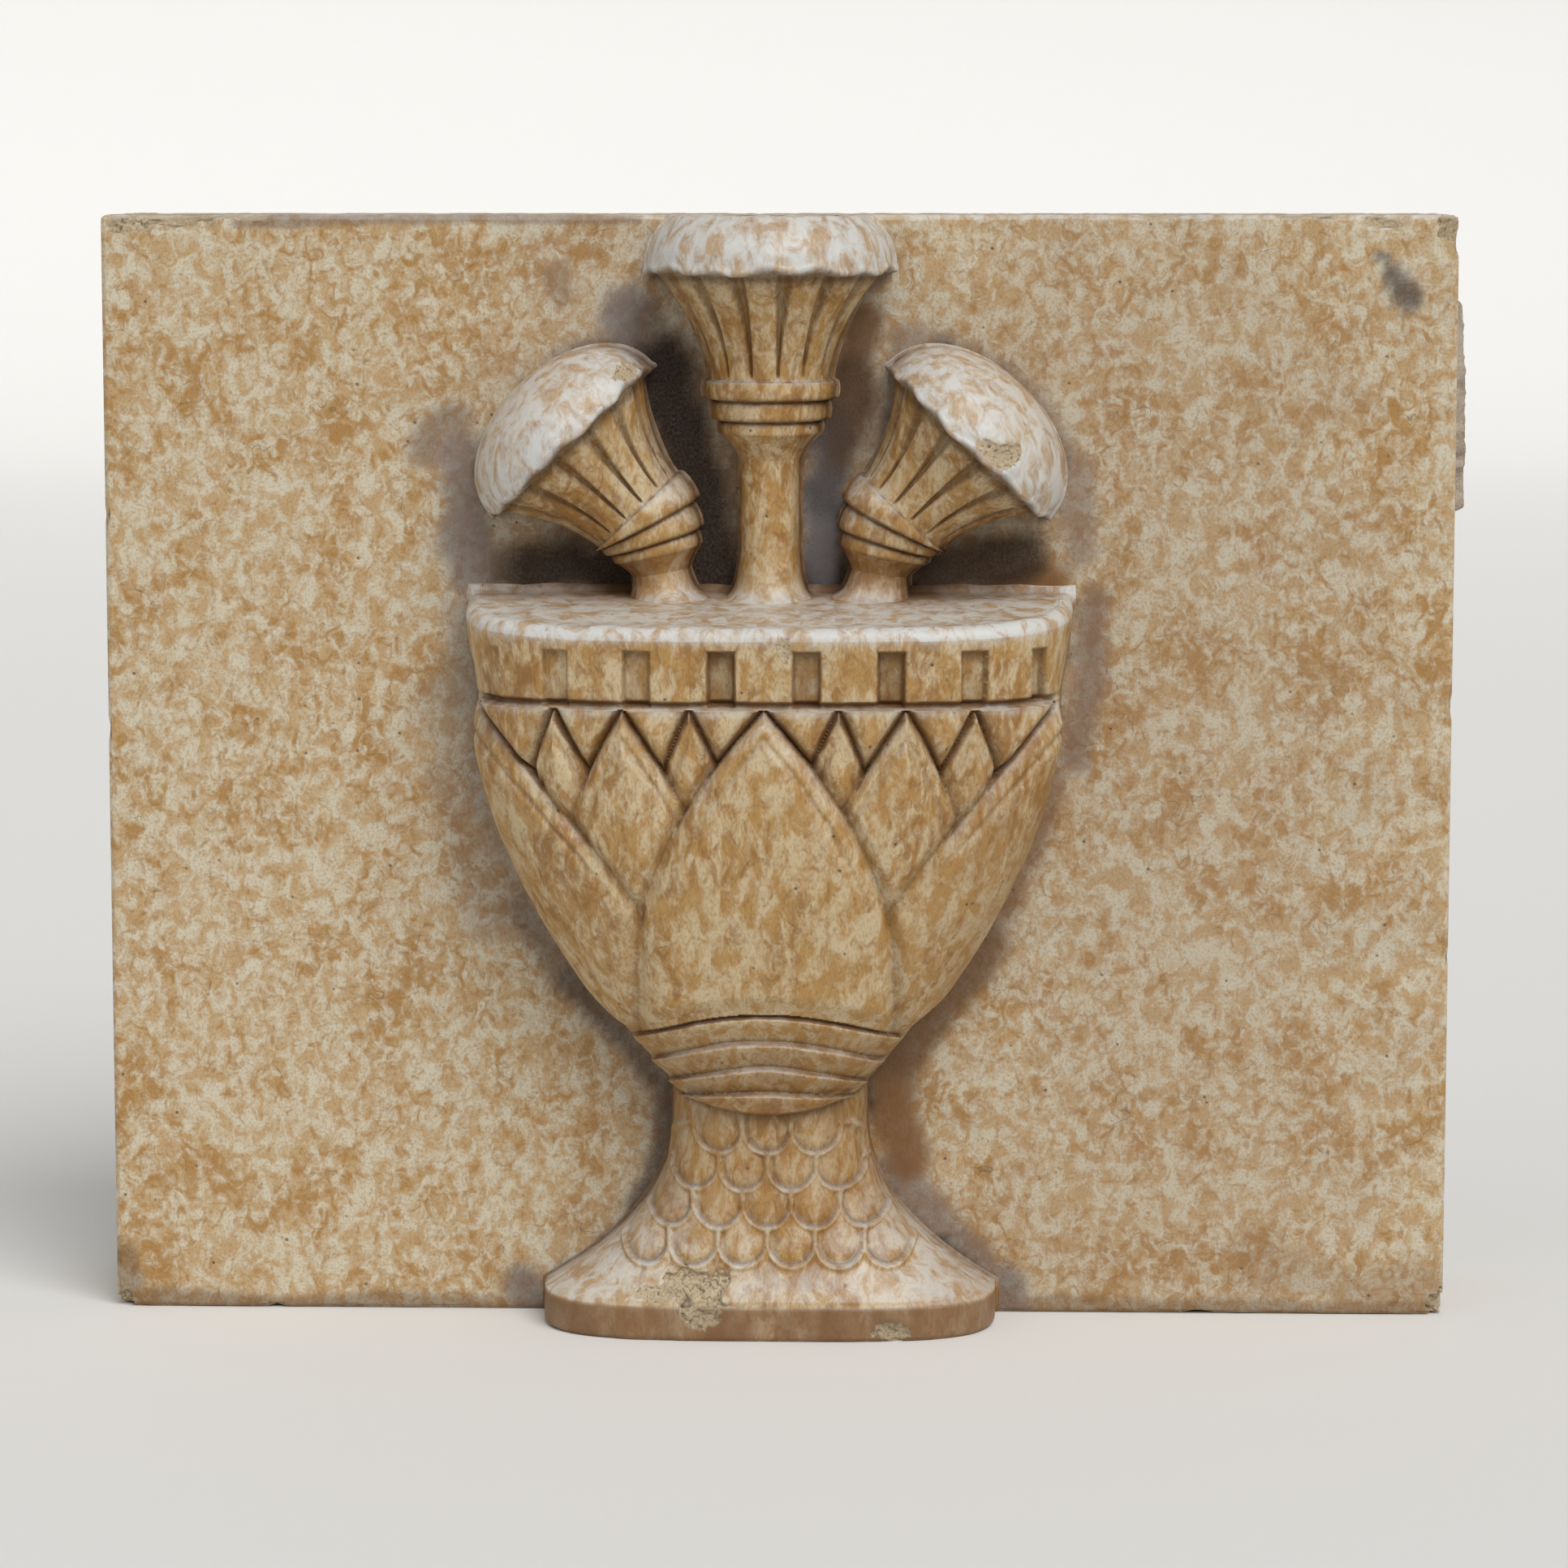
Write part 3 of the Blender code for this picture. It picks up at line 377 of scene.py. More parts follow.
def welded(sheets):
    """Grids of points (rows, columns, 3) as one list of points and faces, welded where they meet."""
    points = np.concatenate([sheet.reshape(-1, 3) for sheet in sheets])
    faces = []
    first = 0
    for sheet in sheets:
        faces.append(grid_faces(*sheet.shape[:2]) + first)
        first += sheet.shape[0] * sheet.shape[1]
    _, kept, where = np.unique(np.round(points * 1e6).astype(np.int64), axis=0, return_index=True, return_inverse=True)
    return points[kept], where.reshape(-1)[np.concatenate(faces)]


def sheet(across, along, place):
    """A flat grid of points: place takes the two coordinates and gives x, y, z."""
    u, v = np.meshgrid(across, along)
    return np.stack(np.broadcast_arrays(*place(u, v)), -1)


def add_piece(name, points, faces, material, marks, sharp=35.0):
    """A mesh object with smooth shading, from points, faces and its marks of dirt, soot, painted shade, painted
    highlight and raw clay.
    """
    mesh = bpy.data.meshes.new(name)
    mesh.from_pydata(points.tolist(), [], faces.tolist() if isinstance(faces, np.ndarray) else faces)
    mesh.update()
    for mark, values in marks.items():
        mesh.attributes.new(mark, "FLOAT", "POINT").data.foreach_set("value", values.astype(np.float32))
    mesh.shade_smooth()
    mesh.set_sharp_from_angle(angle=math.radians(sharp))
    mesh.materials.append(material)
    made = bpy.data.objects.new(name, mesh)
    bpy.context.scene.collection.objects.link(made)
    return made


def outward(piece):
    """Turns every face of a closed mesh to look outward."""
    bm = bmesh.new()
    bm.from_mesh(piece.data)
    bmesh.ops.recalc_face_normals(bm, faces=bm.faces)
    bm.to_mesh(piece.data)
    bm.free()


# The urn's plan, as the block was modelled: half width at the wall, depth in the middle, power of the oval
URN_X = -0.003
FOOT_HALF_WIDTH, FOOT_DEPTH, FOOT_SECTION = 0.103, 0.064, 3.6
FOOT_BAND = 0.016
FLARE_POWER = 2.4
NECK_HALF_WIDTH, NECK_DEPTH, NECK_SECTION = 0.044, 0.046, 2.7
NECK_TOP = 0.097
BOWL_BOTTOM, BOWL_BOTTOM_HALF_WIDTH, BOWL_BOTTOM_DEPTH = 0.111, 0.045, 0.054
BOWL_TOP_HALF_WIDTH, BOWL_TOP_DEPTH, BOWL_POWER = 0.131, 0.091, 1.77
BOWL_SAG = 0.010
BOWL_EDGE = 0.003
RIM_TOP, RIM_HALF_WIDTH, RIM_DEPTH, RIM_SECTION = 0.332, 0.137, 0.095, 3.5
RIM_ARRIS = 0.006
WASH_DROP = 0.009
GROOVE_HEIGHT = 0.289
URN_WALL = 0.034


def rise(low, high, value):
    return np.clip((value - low) / (high - low), 0.0, 1.0)


def neck_plan(z):
    flare = (1.0 - rise(FOOT_BAND, NECK_TOP, z)) ** FLARE_POWER
    half_width = NECK_HALF_WIDTH + (FOOT_HALF_WIDTH - NECK_HALF_WIDTH) * flare
    depth = NECK_DEPTH + (FOOT_DEPTH - NECK_DEPTH) * flare
    return half_width, depth, NECK_SECTION + (FOOT_SECTION - NECK_SECTION) * flare


def bowl_plan(z):
    swell = 1.0 - (1.0 - rise(BOWL_BOTTOM, GROOVE_HEIGHT, z)) ** BOWL_POWER
    flare = rise(GROOVE_HEIGHT, RIM_TOP, z)
    half_width = BOWL_BOTTOM_HALF_WIDTH + (BOWL_TOP_HALF_WIDTH - BOWL_BOTTOM_HALF_WIDTH) * swell
    depth = BOWL_BOTTOM_DEPTH + (BOWL_TOP_DEPTH - BOWL_BOTTOM_DEPTH) * swell
    half_width = half_width + (RIM_HALF_WIDTH - BOWL_TOP_HALF_WIDTH) * flare
    depth = depth + (RIM_DEPTH - BOWL_TOP_DEPTH) * flare
    return half_width, depth, NECK_SECTION + (RIM_SECTION - NECK_SECTION) * swell


def oval_depth(x, plan):
    half_width, depth, section = plan
    share = np.clip(np.abs(x) / half_width, 0.0, 1.0)
    return depth * (1.0 - share**section) ** (1.0 / section)


# The face's own form: a slow wave from the mould, and a core behind the urn's bowl that the relief covers
FACE_WAVE = 0.0006
CORE_INSET = 0.009
CORE_LOW, CORE_HIGH = 0.138, 0.316
CORE_RUN = 0.012


def face_wave(x, z):
    points = np.stack((x, np.zeros_like(x), z), -1).reshape(-1, 3)
    return FACE_WAVE * wander(points, 0.12, 3).reshape(np.shape(x))


def core_depth(x, z):
    half_width, depth, section = bowl_plan(z)
    inner = oval_depth(x - URN_X, (half_width - CORE_INSET, depth - CORE_INSET, section))
    ends = ease(rise(CORE_LOW, CORE_LOW + CORE_RUN, z)) * ease(rise(CORE_HIGH, CORE_HIGH - CORE_RUN, z))
    return inner * ends


across_lines = graded(BLOCK_LEFT, BLOCK_RIGHT, True, True)
up_lines = graded(0.0, BLOCK_TOP, True, True)
deep_lines = graded(0.0, BLOCK_BACK, True, False)
skin_sheets = [
    sheet(across_lines, up_lines, lambda u, v: (u, 0.0, v)),
    sheet(across_lines, deep_lines, lambda u, v: (u, v, 0.0)),
    sheet(across_lines, deep_lines, lambda u, v: (u, v, BLOCK_TOP)),
    sheet(deep_lines, up_lines, lambda u, v: (BLOCK_LEFT, u, v)),
    sheet(deep_lines, up_lines, lambda u, v: (BLOCK_RIGHT, u, v)),
]
skin_points, skin_faces = welded(skin_sheets)

# Chips on the arrises: middle in the photograph, half width, half height and depth of the loss in metres
CHIPS = (
    ((205, 272), 0.028, 0.0050, 0.0045),
    ((158, 276), 0.009, 0.0062, 0.0060),
    ((300, 268), 0.012, 0.0025, 0.0025),
    ((1681, 276), 0.0052, 0.0036, 0.0030),
    ((1709, 278), 0.0056, 0.0034, 0.0028),
    ((1771, 281), 0.0055, 0.0058, 0.0050),
    ((1785, 300), 0.0032, 0.0060, 0.0035),
    ((1600, 270), 0.0140, 0.0016, 0.0020),
    ((1420, 269), 0.0100, 0.0013, 0.0018),
    ((1783, 1617), 0.0062, 0.0070, 0.0060),
    ((140, 1625), 0.0055, 0.0055, 0.0060),
    ((133, 640), 0.0020, 0.0030, 0.0018),
    ((130, 900), 0.0016, 0.0035, 0.0016),
    ((1787, 870), 0.0020, 0.0050, 0.0018),
    ((1787, 1180), 0.0016, 0.0030, 0.0016),
    ((1480, 1628), 0.0060, 0.0020, 0.0025),
    ((330, 1628), 0.0050, 0.0018, 0.0022),
)


def chip_share(x, z, points, chips, depth=0.0):
    """How far into a chip each place of the elevation is, how deep the chip is there, and its cracks."""
    inside = np.zeros(len(x))
    loss = np.zeros(len(x))
    crack = np.zeros(len(x))
    ragged = 0.30 * wander(points, 0.004, 11) + 0.22 * wander(points, 0.0015, 12)
    for (photo_x, photo_y), half_width, half_height, deep in chips:
        middle_x, middle_z = from_photo(photo_x, photo_y, depth)
        reach = np.hypot((x - middle_x) / half_width, (z - middle_z) / half_height)
        here = 1.0 - reach + ragged
        inside = np.maximum(inside, ease(here / 0.14))
        terrace = np.floor(np.clip(here, 0.0, 1.0) * 3.0 + 0.8 * ragged) / 3.0
        loss = np.maximum(loss, deep * (0.45 * ease(here / 0.25) + 0.55 * np.clip(terrace, 0.0, 1.0)))
        split = (2.4 * (1.0 - reach) + 0.9 * wander(points, 0.007, 13)) % 1.0
        crack = np.maximum(crack, np.exp(-((split / 0.07) ** 2)) * ease(here / 0.05))
    return inside, loss, crack


def worn_block(points):
    """The block's sharp skin with rounded arrises, the mould's wave, wear and chips, and its marks."""
    low = np.array((BLOCK_LEFT, 0.0, 0.0)) + ARRIS
    high = np.array((BLOCK_RIGHT, BLOCK_BACK, BLOCK_TOP)) - ARRIS
    held = np.clip(points, low, high)
    away = points - held
    length = np.linalg.norm(away, axis=1)
    rounded = held + away * (ARRIS / np.maximum(length, 1e-9))[:, None]
    made = np.where((length > ARRIS)[:, None], rounded, points)
    normal = away / np.maximum(length, 1e-9)[:, None]
    corner = ease((length / ARRIS - 1.02) / 0.2)
    worn = 0.0007 * corner * np.maximum(wander(points, 0.006, 5) + 0.2, 0.0)
    inside, loss, crack = chip_share(points[:, 0], points[:, 2], points, CHIPS)
    front = ease(1.0 - points[:, 1] / 0.012)
    near_side = np.abs(points[:, 0]) > BLOCK_RIGHT - 0.02
    to_middle = -np.sign(points[:, 0]) * near_side
    to_mid_height = np.sign(BLOCK_TOP / 2.0 - points[:, 2])
    inward = np.stack((0.5 * to_middle, np.full(len(points), 0.6), 0.5 * to_mid_height), -1)
    inward /= np.linalg.norm(inward, axis=1)[:, None]
    made = made - normal * worn[:, None] + inward * (loss * front)[:, None]
    on_face = points[:, 1] < 1e-6
    wave = face_wave(points[:, 0], points[:, 2]) * ease((ARRIS * 3.0 - np.abs(away).max(axis=1)) / ARRIS)
    made[:, 1] += np.where(on_face, wave, 0.0) - np.where(on_face, core_depth(points[:, 0], points[:, 2]), 0.0)
    lap = GLAZE_LAP * (1.0 + 0.45 * wander(points, 0.018, 8) + 0.2 * wander(points, 0.005, 9))
    bare = ease((points[:, 1] - lap) / 0.0015)
    raw = np.maximum(bare, inside * front)
    return made, raw, crack * front


worn_points, raw_mark, crack_mark = worn_block(skin_points)
bare_side = 0.0009 * wander(worn_points, 0.010, 21) + 0.0004 * wander(worn_points, 0.003, 22)
side_push = np.where(np.abs(np.abs(skin_points[:, 0]) - BLOCK_RIGHT) < 1e-6, -np.sign(skin_points[:, 0]), 0.0)
worn_points[:, 0] += side_push * np.abs(bare_side) * raw_mark
bed_push = np.where(skin_points[:, 2] > BLOCK_TOP - 1e-6, -1.0, 0.0)
worn_points[:, 2] += bed_push * np.abs(bare_side) * raw_mark

bm = bmesh.new()
for point in worn_points:
    bm.verts.new(point)
bm.verts.ensure_lookup_table()
for face in skin_faces:
    bm.faces.new([bm.verts[index] for index in face])
outer_rim = [edge for edge in bm.edges if edge.is_boundary]


def pocket(x_low, x_high, z_low, z_high):
    """An open cell's four walls as flat grids, with the places across and up for its floor."""
    width_lines = np.linspace(x_low, x_high, 29)
    height_lines = np.linspace(z_low, z_high, 75)
    depth_lines = np.linspace(FACE_WALL, BLOCK_BACK, 12)
    sheets = [
        sheet(width_lines, depth_lines, lambda u, v: (u, v, z_low)),
        sheet(width_lines, depth_lines, lambda u, v: (u, v, z_high)),
        sheet(depth_lines, height_lines, lambda u, v: (x_low, u, v)),
        sheet(depth_lines, height_lines, lambda u, v: (x_high, u, v)),
    ]
    return sheets, width_lines, height_lines


def hollow_floor(x_low, x_high, z_low, z_high):
    """The middle cell's floor with the hollow behind the bowl, an even wall inside the urn's front."""
    hollow_low = BOWL_BOTTOM + 1.5 * URN_WALL
    hollow_high = RIM_TOP - WASH_DROP - URN_WALL
    rows = np.concatenate(
        (
            np.linspace(z_low, hollow_low, 26),
            np.linspace(hollow_low, hollow_high, 40),
            np.linspace(hollow_high, z_high, 36),
        )
    )
    inside_row = np.zeros(len(rows), bool)
    inside_row[26:66] = True
    most = (x_high - x_low) / 2.0 - abs(URN_X) - CELL_CORNER
    shares = np.concatenate((np.full(6, -1.0), np.cos(np.linspace(math.pi, 0.0, 41)), np.full(6, 1.0)))
    inside_column = np.zeros(len(shares), bool)
    inside_column[6:47] = True
    points = np.zeros((len(rows), len(shares), 3))
    for index, z in enumerate(rows):
        held = float(np.clip(z, hollow_low, hollow_high))
        half_width, depth, section = bowl_plan(held)
        reach = min(float(half_width) - URN_WALL, most)
        x = URN_X + shares * reach
        x[:6] = np.linspace(x_low, URN_X - reach, 6)
        x[-6:] = np.linspace(URN_X + reach, x_high, 6)
        bulge = (float(depth) - URN_WALL) * (1.0 - np.abs(shares) ** float(section)) ** (1.0 / float(section))
        deep = inside_column & inside_row[index]
        points[index, :, 0] = x
        points[index, :, 1] = np.where(deep, -bulge, FACE_WALL)
        points[index, :, 2] = z
    return points


cell_width = (BLOCK_RIGHT - BLOCK_LEFT - 2.0 * SIDE_WALL - (CELLS - 1) * WEB) / CELLS
rims = list(outer_rim)
for index in range(CELLS):
    x_low = BLOCK_LEFT + SIDE_WALL + index * (cell_width + WEB)
    x_high = x_low + cell_width
    z_low, z_high = SIDE_WALL, BLOCK_TOP - SIDE_WALL
    sheets, width_lines, height_lines = pocket(x_low, x_high, z_low, z_high)
    if index == CELLS // 2:
        floor_rows = hollow_floor(x_low, x_high, z_low, z_high)
        width_lines = floor_rows[0, :, 0]
        height_lines = floor_rows[:, 0, 2]
        depth_lines = np.linspace(FACE_WALL, BLOCK_BACK, 12)
        sheets = [
            sheet(width_lines, depth_lines, lambda u, v: (u, v, z_low)),
            sheet(width_lines, depth_lines, lambda u, v: (u, v, z_high)),
            sheet(depth_lines, height_lines, lambda u, v: (x_low, u, v)),
            sheet(depth_lines, height_lines, lambda u, v: (x_high, u, v)),
            floor_rows,
        ]
        # The top row of the floor has its own places across, so the upper wall takes them
        sheets[1] = sheet(floor_rows[-1, :, 0], depth_lines, lambda u, v: (u, v, z_high))
    else:
        sheets.append(sheet(width_lines, height_lines, lambda u, v: (u, FACE_WALL, v)))
    cell_points, cell_faces = welded(sheets)
    middle = np.array(((x_low + x_high) / 2.0, 0.0, (z_low + z_high) / 2.0))
    half = np.array((cell_width / 2.0 - CELL_CORNER, 1.0, (z_high - z_low) / 2.0 - CELL_CORNER))
    held = np.clip(cell_points - middle, -half, half)
    away = cell_points - middle - held
    away[:, 1] = 0.0
    longest = np.maximum(np.abs(away[:, 0]), np.abs(away[:, 2]))
    length = np.linalg.norm(away, axis=1)
    cell_points = middle + held + away * (longest / np.maximum(length, 1e-9))[:, None]
    wobble = 0.0009 * wander(cell_points, 0.030, 31 + index) + 0.0004 * wander(cell_points, 0.007, 41 + index)
    keep = ease((BLOCK_BACK - cell_points[:, 1]) / 0.006)
    cell_points = cell_points + (wobble * keep)[:, None] * np.array((0.6, 1.0, 0.6))
    first = len(bm.verts)
    for point in cell_points:
        bm.verts.new(point)
    bm.verts.ensure_lookup_table()
    made = []
    for face in cell_faces:
        corners = [bm.verts[first + spot] for spot in dict.fromkeys(face)]
        if len(corners) > 2:
            made.append(bm.faces.new(corners))
    edges = {edge for face in made for edge in face.edges if edge.is_boundary}
    rims.extend(edges)
bmesh.ops.triangle_fill(bm, edges=rims, use_beauty=True)
bmesh.ops.recalc_face_normals(bm, faces=bm.faces)
mesh = bpy.data.meshes.new("wall_block")
bm.to_mesh(mesh)
bm.free()
block = bpy.data.objects.new("wall_block", mesh)
bpy.context.scene.collection.objects.link(block)
mesh.materials.append(face_glaze)
mesh.shade_smooth()
mesh.set_sharp_from_angle(angle=math.radians(32.0))

# The urn
# Pressed and fired in one with the block: a foot with scales, stepped rolls under a bowl of petals,
# and a slotted rim whose top slopes to shed water. It is glazed like the face.
COVE = 0.0018
BURIED = 0.0015
URN_ROWS = 640
URN_COLUMNS = 561
BACK_STRIDE = 10
BACK_INSET = 0.013
TOP_ROWS = 70
URN_TRIANGLES = 186000
HAND_WANDER = 0.0005
CARVING_FADE = 0.03
BAND_FADE = 0.16

# Petals: place as a share of the half width, half width at the foot, layer, bevel rise and width, keel
PETAL_TIP = GROOVE_HEIGHT - 0.0022
PETAL_LENGTH = 0.111
PETAL_POWER = 1.85
PETAL_EDGE = 0.0011
PETAL_STEP = 0.0006
PETAL_GROOVE = 0.0060
PETAL_GROOVE_DEPTH = 0.0030
PETAL_SINK = 0.0020
PETALS = (
    (0.250, 0.0300, 0, 0.0030, 0.0048, 0.0022),
    (0.705, 0.0300, 0, 0.0030, 0.0048, 0.0022),
    (0.475, 0.0396, 1, 0.0036, 0.0065, 0.0026),
    (0.985, 0.0505, 2, 0.0048, 0.0078, 0.0006),
    (0.000, 0.0556, 3, 0.0056, 0.0082, 0.0008),
)
PAD_RELIEF = 0.0036
BAND_LINES = ((0.134, 0.0155), (0.123, 0.0140), (0.113, 0.0115), (0.106, 0.0062))
BAND_SWELL = 0.0044
SCALE_LOWEST, SCALE_ROW_RISE, SCALE_ROWS, SCALE_PITCH = 0.0335, 0.0165, 4, 0.0218
SCALE_RADIUS = 0.0098
SCALE_RIDGE = 0.0013
SLOT_COUNT, SLOT_PITCH, SLOT_WIDTH, SLOT_HEIGHT = 8, 0.0372, 0.0125, 0.025
SLOT_TOP_GAP = 0.004
SLOT_DEPTH = 0.0056
GROOVE_HALF_WIDTH = 0.0022
GROOVE_DEPTH = 0.0028


def bowl_edge(x):
    share = np.clip(np.abs(x) / BOWL_BOTTOM_HALF_WIDTH, 0.0, 1.0)
    return BOWL_BOTTOM - BOWL_SAG * (1.0 - share**2)


def band_line(x, line):
    share = np.clip(np.abs(x) / bowl_plan(line[0])[0], 0.0, 1.0)
    return line[0] + line[1] * (1.0 - share**2)


def petal_relief(x, z):
    """Overlapping petals with bevelled edges and keels, sunk where one tucks under another, and the dirt and painted
    shade in their grooves and on their bevels.
    """
    height = np.zeros_like(x)
    dirt_and_shade = np.zeros_like(x)
    nearest = np.full_like(x, -1.0)
    for place, half_width, layer, bevel_rise, bevel, keel in PETALS:
        for side in (-1.0, 1.0) if place else (1.0,):
            drop = PETAL_TIP - z
            share = np.clip(drop / PETAL_LENGTH, 0.0, 1.0)
            slope = PETAL_POWER * half_width / PETAL_LENGTH * (1.0 - share) ** (PETAL_POWER - 1.0)
            reach = half_width * (1.0 - (1.0 - share) ** PETAL_POWER)
            off = np.abs(x - side * place * bowl_plan(z)[0])
            margin = np.minimum((reach - off) / np.sqrt(1.0 + slope**2), drop)
            nearest = np.maximum(nearest, margin)
            bevelled = bevel_rise * (1.0 - (1.0 - np.clip(margin / bevel, 0.0, 1.0)) ** 1.4)
            inner_line = np.exp(-(((margin - bevel) / 0.0016) ** 2)) * ease(1.6 - 1.5 * share)
            shoulder = 0.0019 * inner_line
            ridge = keel * (1.0 - np.clip(off / np.maximum(reach, 1e-4), 0.0, 1.0)) * ease(margin / 0.002)
            raised = layer * PETAL_STEP + 0.0010 * ease(margin / PETAL_EDGE) + bevelled + ridge - shoulder
            raised = raised - PETAL_SINK
            tucked = height - PETAL_GROOVE_DEPTH * ease(1.0 + margin / PETAL_GROOVE)
            height = np.where(margin > 0.0, np.maximum(raised, tucked), tucked)
            dirt_and_shade = np.where(margin > 0.0006, 0.0, dirt_and_shade)
            # Dirt and painted shade: a dark line in the groove outside each petal, softer shade beyond it and on the
            # bevel
            outer = np.clip(1.0 - np.abs(margin + 0.0004) / 0.0016, 0.0, 1.0)
            shallow = 0.72 + 0.28 * ease(1.35 - 1.3 * share)
            soft_shade = 0.26 * ease(1.0 + margin / 0.0060) * (margin < 0.0)
            slope_shade = np.maximum(0.14 * ease(1.0 - margin / 0.0050), 0.12 * inner_line) * (margin >= 0.0)
            dirt_and_shade = np.maximum(dirt_and_shade, np.maximum(0.66 * outer * shallow, np.maximum(soft_shade, slope_shade)))
    pads = PAD_RELIEF * ease(-nearest / 0.0030) ** 0.7
    return np.where(nearest < 0.0, height + pads, height), dirt_and_shade


def band_relief(x, z):
    """Rolls under the petals: each starts with a lip and falls back to the next."""
    lines = [band_line(x, line) for line in BAND_LINES] + [bowl_edge(x)]
    height = np.zeros_like(x)
    dirt_and_shade = np.zeros_like(x)
    for upper, lower in zip(lines, lines[1:]):
        share = np.clip((upper - z) / np.maximum(upper - lower, 0.001), 0.0, 1.0)
        within = (z <= upper) & (z > lower)
        roll = BAND_SWELL * ease(share / 0.22) * (1.0 - 0.9 * ease((share - 0.15) / 0.85))
        height = np.where(within, roll, height)
        # Dirt and painted shade in the crease along the top of each roll
        dirt_and_shade = np.maximum(dirt_and_shade, 0.48 * np.clip(1.0 - np.abs(z - upper - 0.0003) / 0.0016, 0.0, 1.0))
    return height, dirt_and_shade


def scale_relief(x, z):
    """Rows of round scales, each edged by a thin ridge, the upper rows over the lower."""
    height = np.zeros_like(x)
    dirt_and_shade = np.zeros_like(x)
    for row in range(SCALE_ROWS):
        bottom = SCALE_LOWEST + row * SCALE_ROW_RISE
        reach = neck_plan(bottom + SCALE_RADIUS)[0] - SCALE_RADIUS * 0.2
        offset = 0.5 if row % 2 == 0 else 0.0
        for step in range(-4, 4):
            middle = (step + offset) * SCALE_PITCH
            if abs(middle) >= reach:
                continue
            below = np.minimum(z - bottom - SCALE_RADIUS, 0.0)
            above = np.maximum(z - bottom - SCALE_RADIUS - SCALE_ROW_RISE * 0.45, 0.0)
            margin = SCALE_RADIUS - np.sqrt((x - middle) ** 2 + below**2 + above**2)
            ridge = 0.0015 * np.exp(-(((margin + 0.0014) / SCALE_RIDGE) ** 2))
            pillow = 0.0011 * ease(margin / 0.0055) - 0.0007 * np.exp(-(((margin - 0.0007) / 0.0008) ** 2))
            height = np.where(margin > 0.0, pillow, height)
            height = np.where(margin > -0.0036, np.maximum(height, ridge), height)
            dirt_and_shade = np.where(margin > 0.0, 0.0, dirt_and_shade)
            # Dirt and painted shade along each scale's edge, darkest at its lower edge, the shadow side
            edge = np.exp(-(((margin - 0.0006) / 0.0009) ** 2))
            lower = 0.35 + 0.65 * ease((bottom + SCALE_RADIUS - z) / (SCALE_RADIUS * 0.6))
            dirt_and_shade = np.maximum(dirt_and_shade, 0.6 * edge * lower)
    return height, dirt_and_shade


def slot_places():
    across = np.linspace(0.0, RIM_HALF_WIDTH, 400)
    depth = oval_depth(across, bowl_plan(np.full(400, GROOVE_HEIGHT)))
    along = np.concatenate(([0.0], np.cumsum(np.hypot(np.diff(across), np.diff(depth)))))
    middles = []
    for index in range(SLOT_COUNT):
        step = (index - (SLOT_COUNT - 1) / 2.0) * SLOT_PITCH
        sides = [np.interp(abs(step) + shift, along, across) for shift in (-SLOT_WIDTH / 2, SLOT_WIDTH / 2)]
        middles.append((math.copysign(sum(sides) / 2.0, step), (sides[1] - sides[0]) / 2.0))
    return middles


# How deep each slot was pressed, from the viewer's left: the outer ones are nearly filled with glaze
SLOT_FILL = (0.25, 0.55, 0.7, 1.0, 0.85, 1.0, 0.75, 0.8)


def rim_relief(x, z):
    """The groove under the rim and its row of soft slots, and the dirt and painted shade that they hold, with painted
    shadow under each slot's roof.
    """
    near = np.clip(1.0 - np.abs(z - GROOVE_HEIGHT) / GROOVE_HALF_WIDTH, 0.0, 1.0)
    height = -GROOVE_DEPTH * ease(near)
    dirt_and_shade = 0.52 * ease(near)
    high = RIM_TOP - WASH_DROP - RIM_ARRIS - SLOT_TOP_GAP
    low = high - SLOT_HEIGHT
    for (middle, half_width), fill in zip(slot_places(), SLOT_FILL):
        slant = half_width / (SLOT_WIDTH / 2.0)
        margin = np.minimum((half_width - np.abs(x - middle)) / slant, np.minimum(z - low, high - z))
        height = height - SLOT_DEPTH * fill * ease((margin + 0.0006) / 0.0022)
        side_of = (half_width - np.abs(x - middle)) / slant
        edge = np.clip(1.0 - np.abs(side_of - 0.0008) / 0.0016, 0.0, 1.0) * ease(margin / 0.0008 + 0.6)
        # Painted shadow under each slot's roof, with dirt and painted shade along its sides and floor
        roof_shadow = ease((z - high + 0.010) / 0.010) * ease(margin / 0.001)
        sunk = 0.20 * ease(margin / 0.0015)
        dirt_and_shade = np.maximum(dirt_and_shade, fill * np.maximum(0.66 * edge, np.maximum(0.50 * roof_shadow, sunk)))
    return height, dirt_and_shade


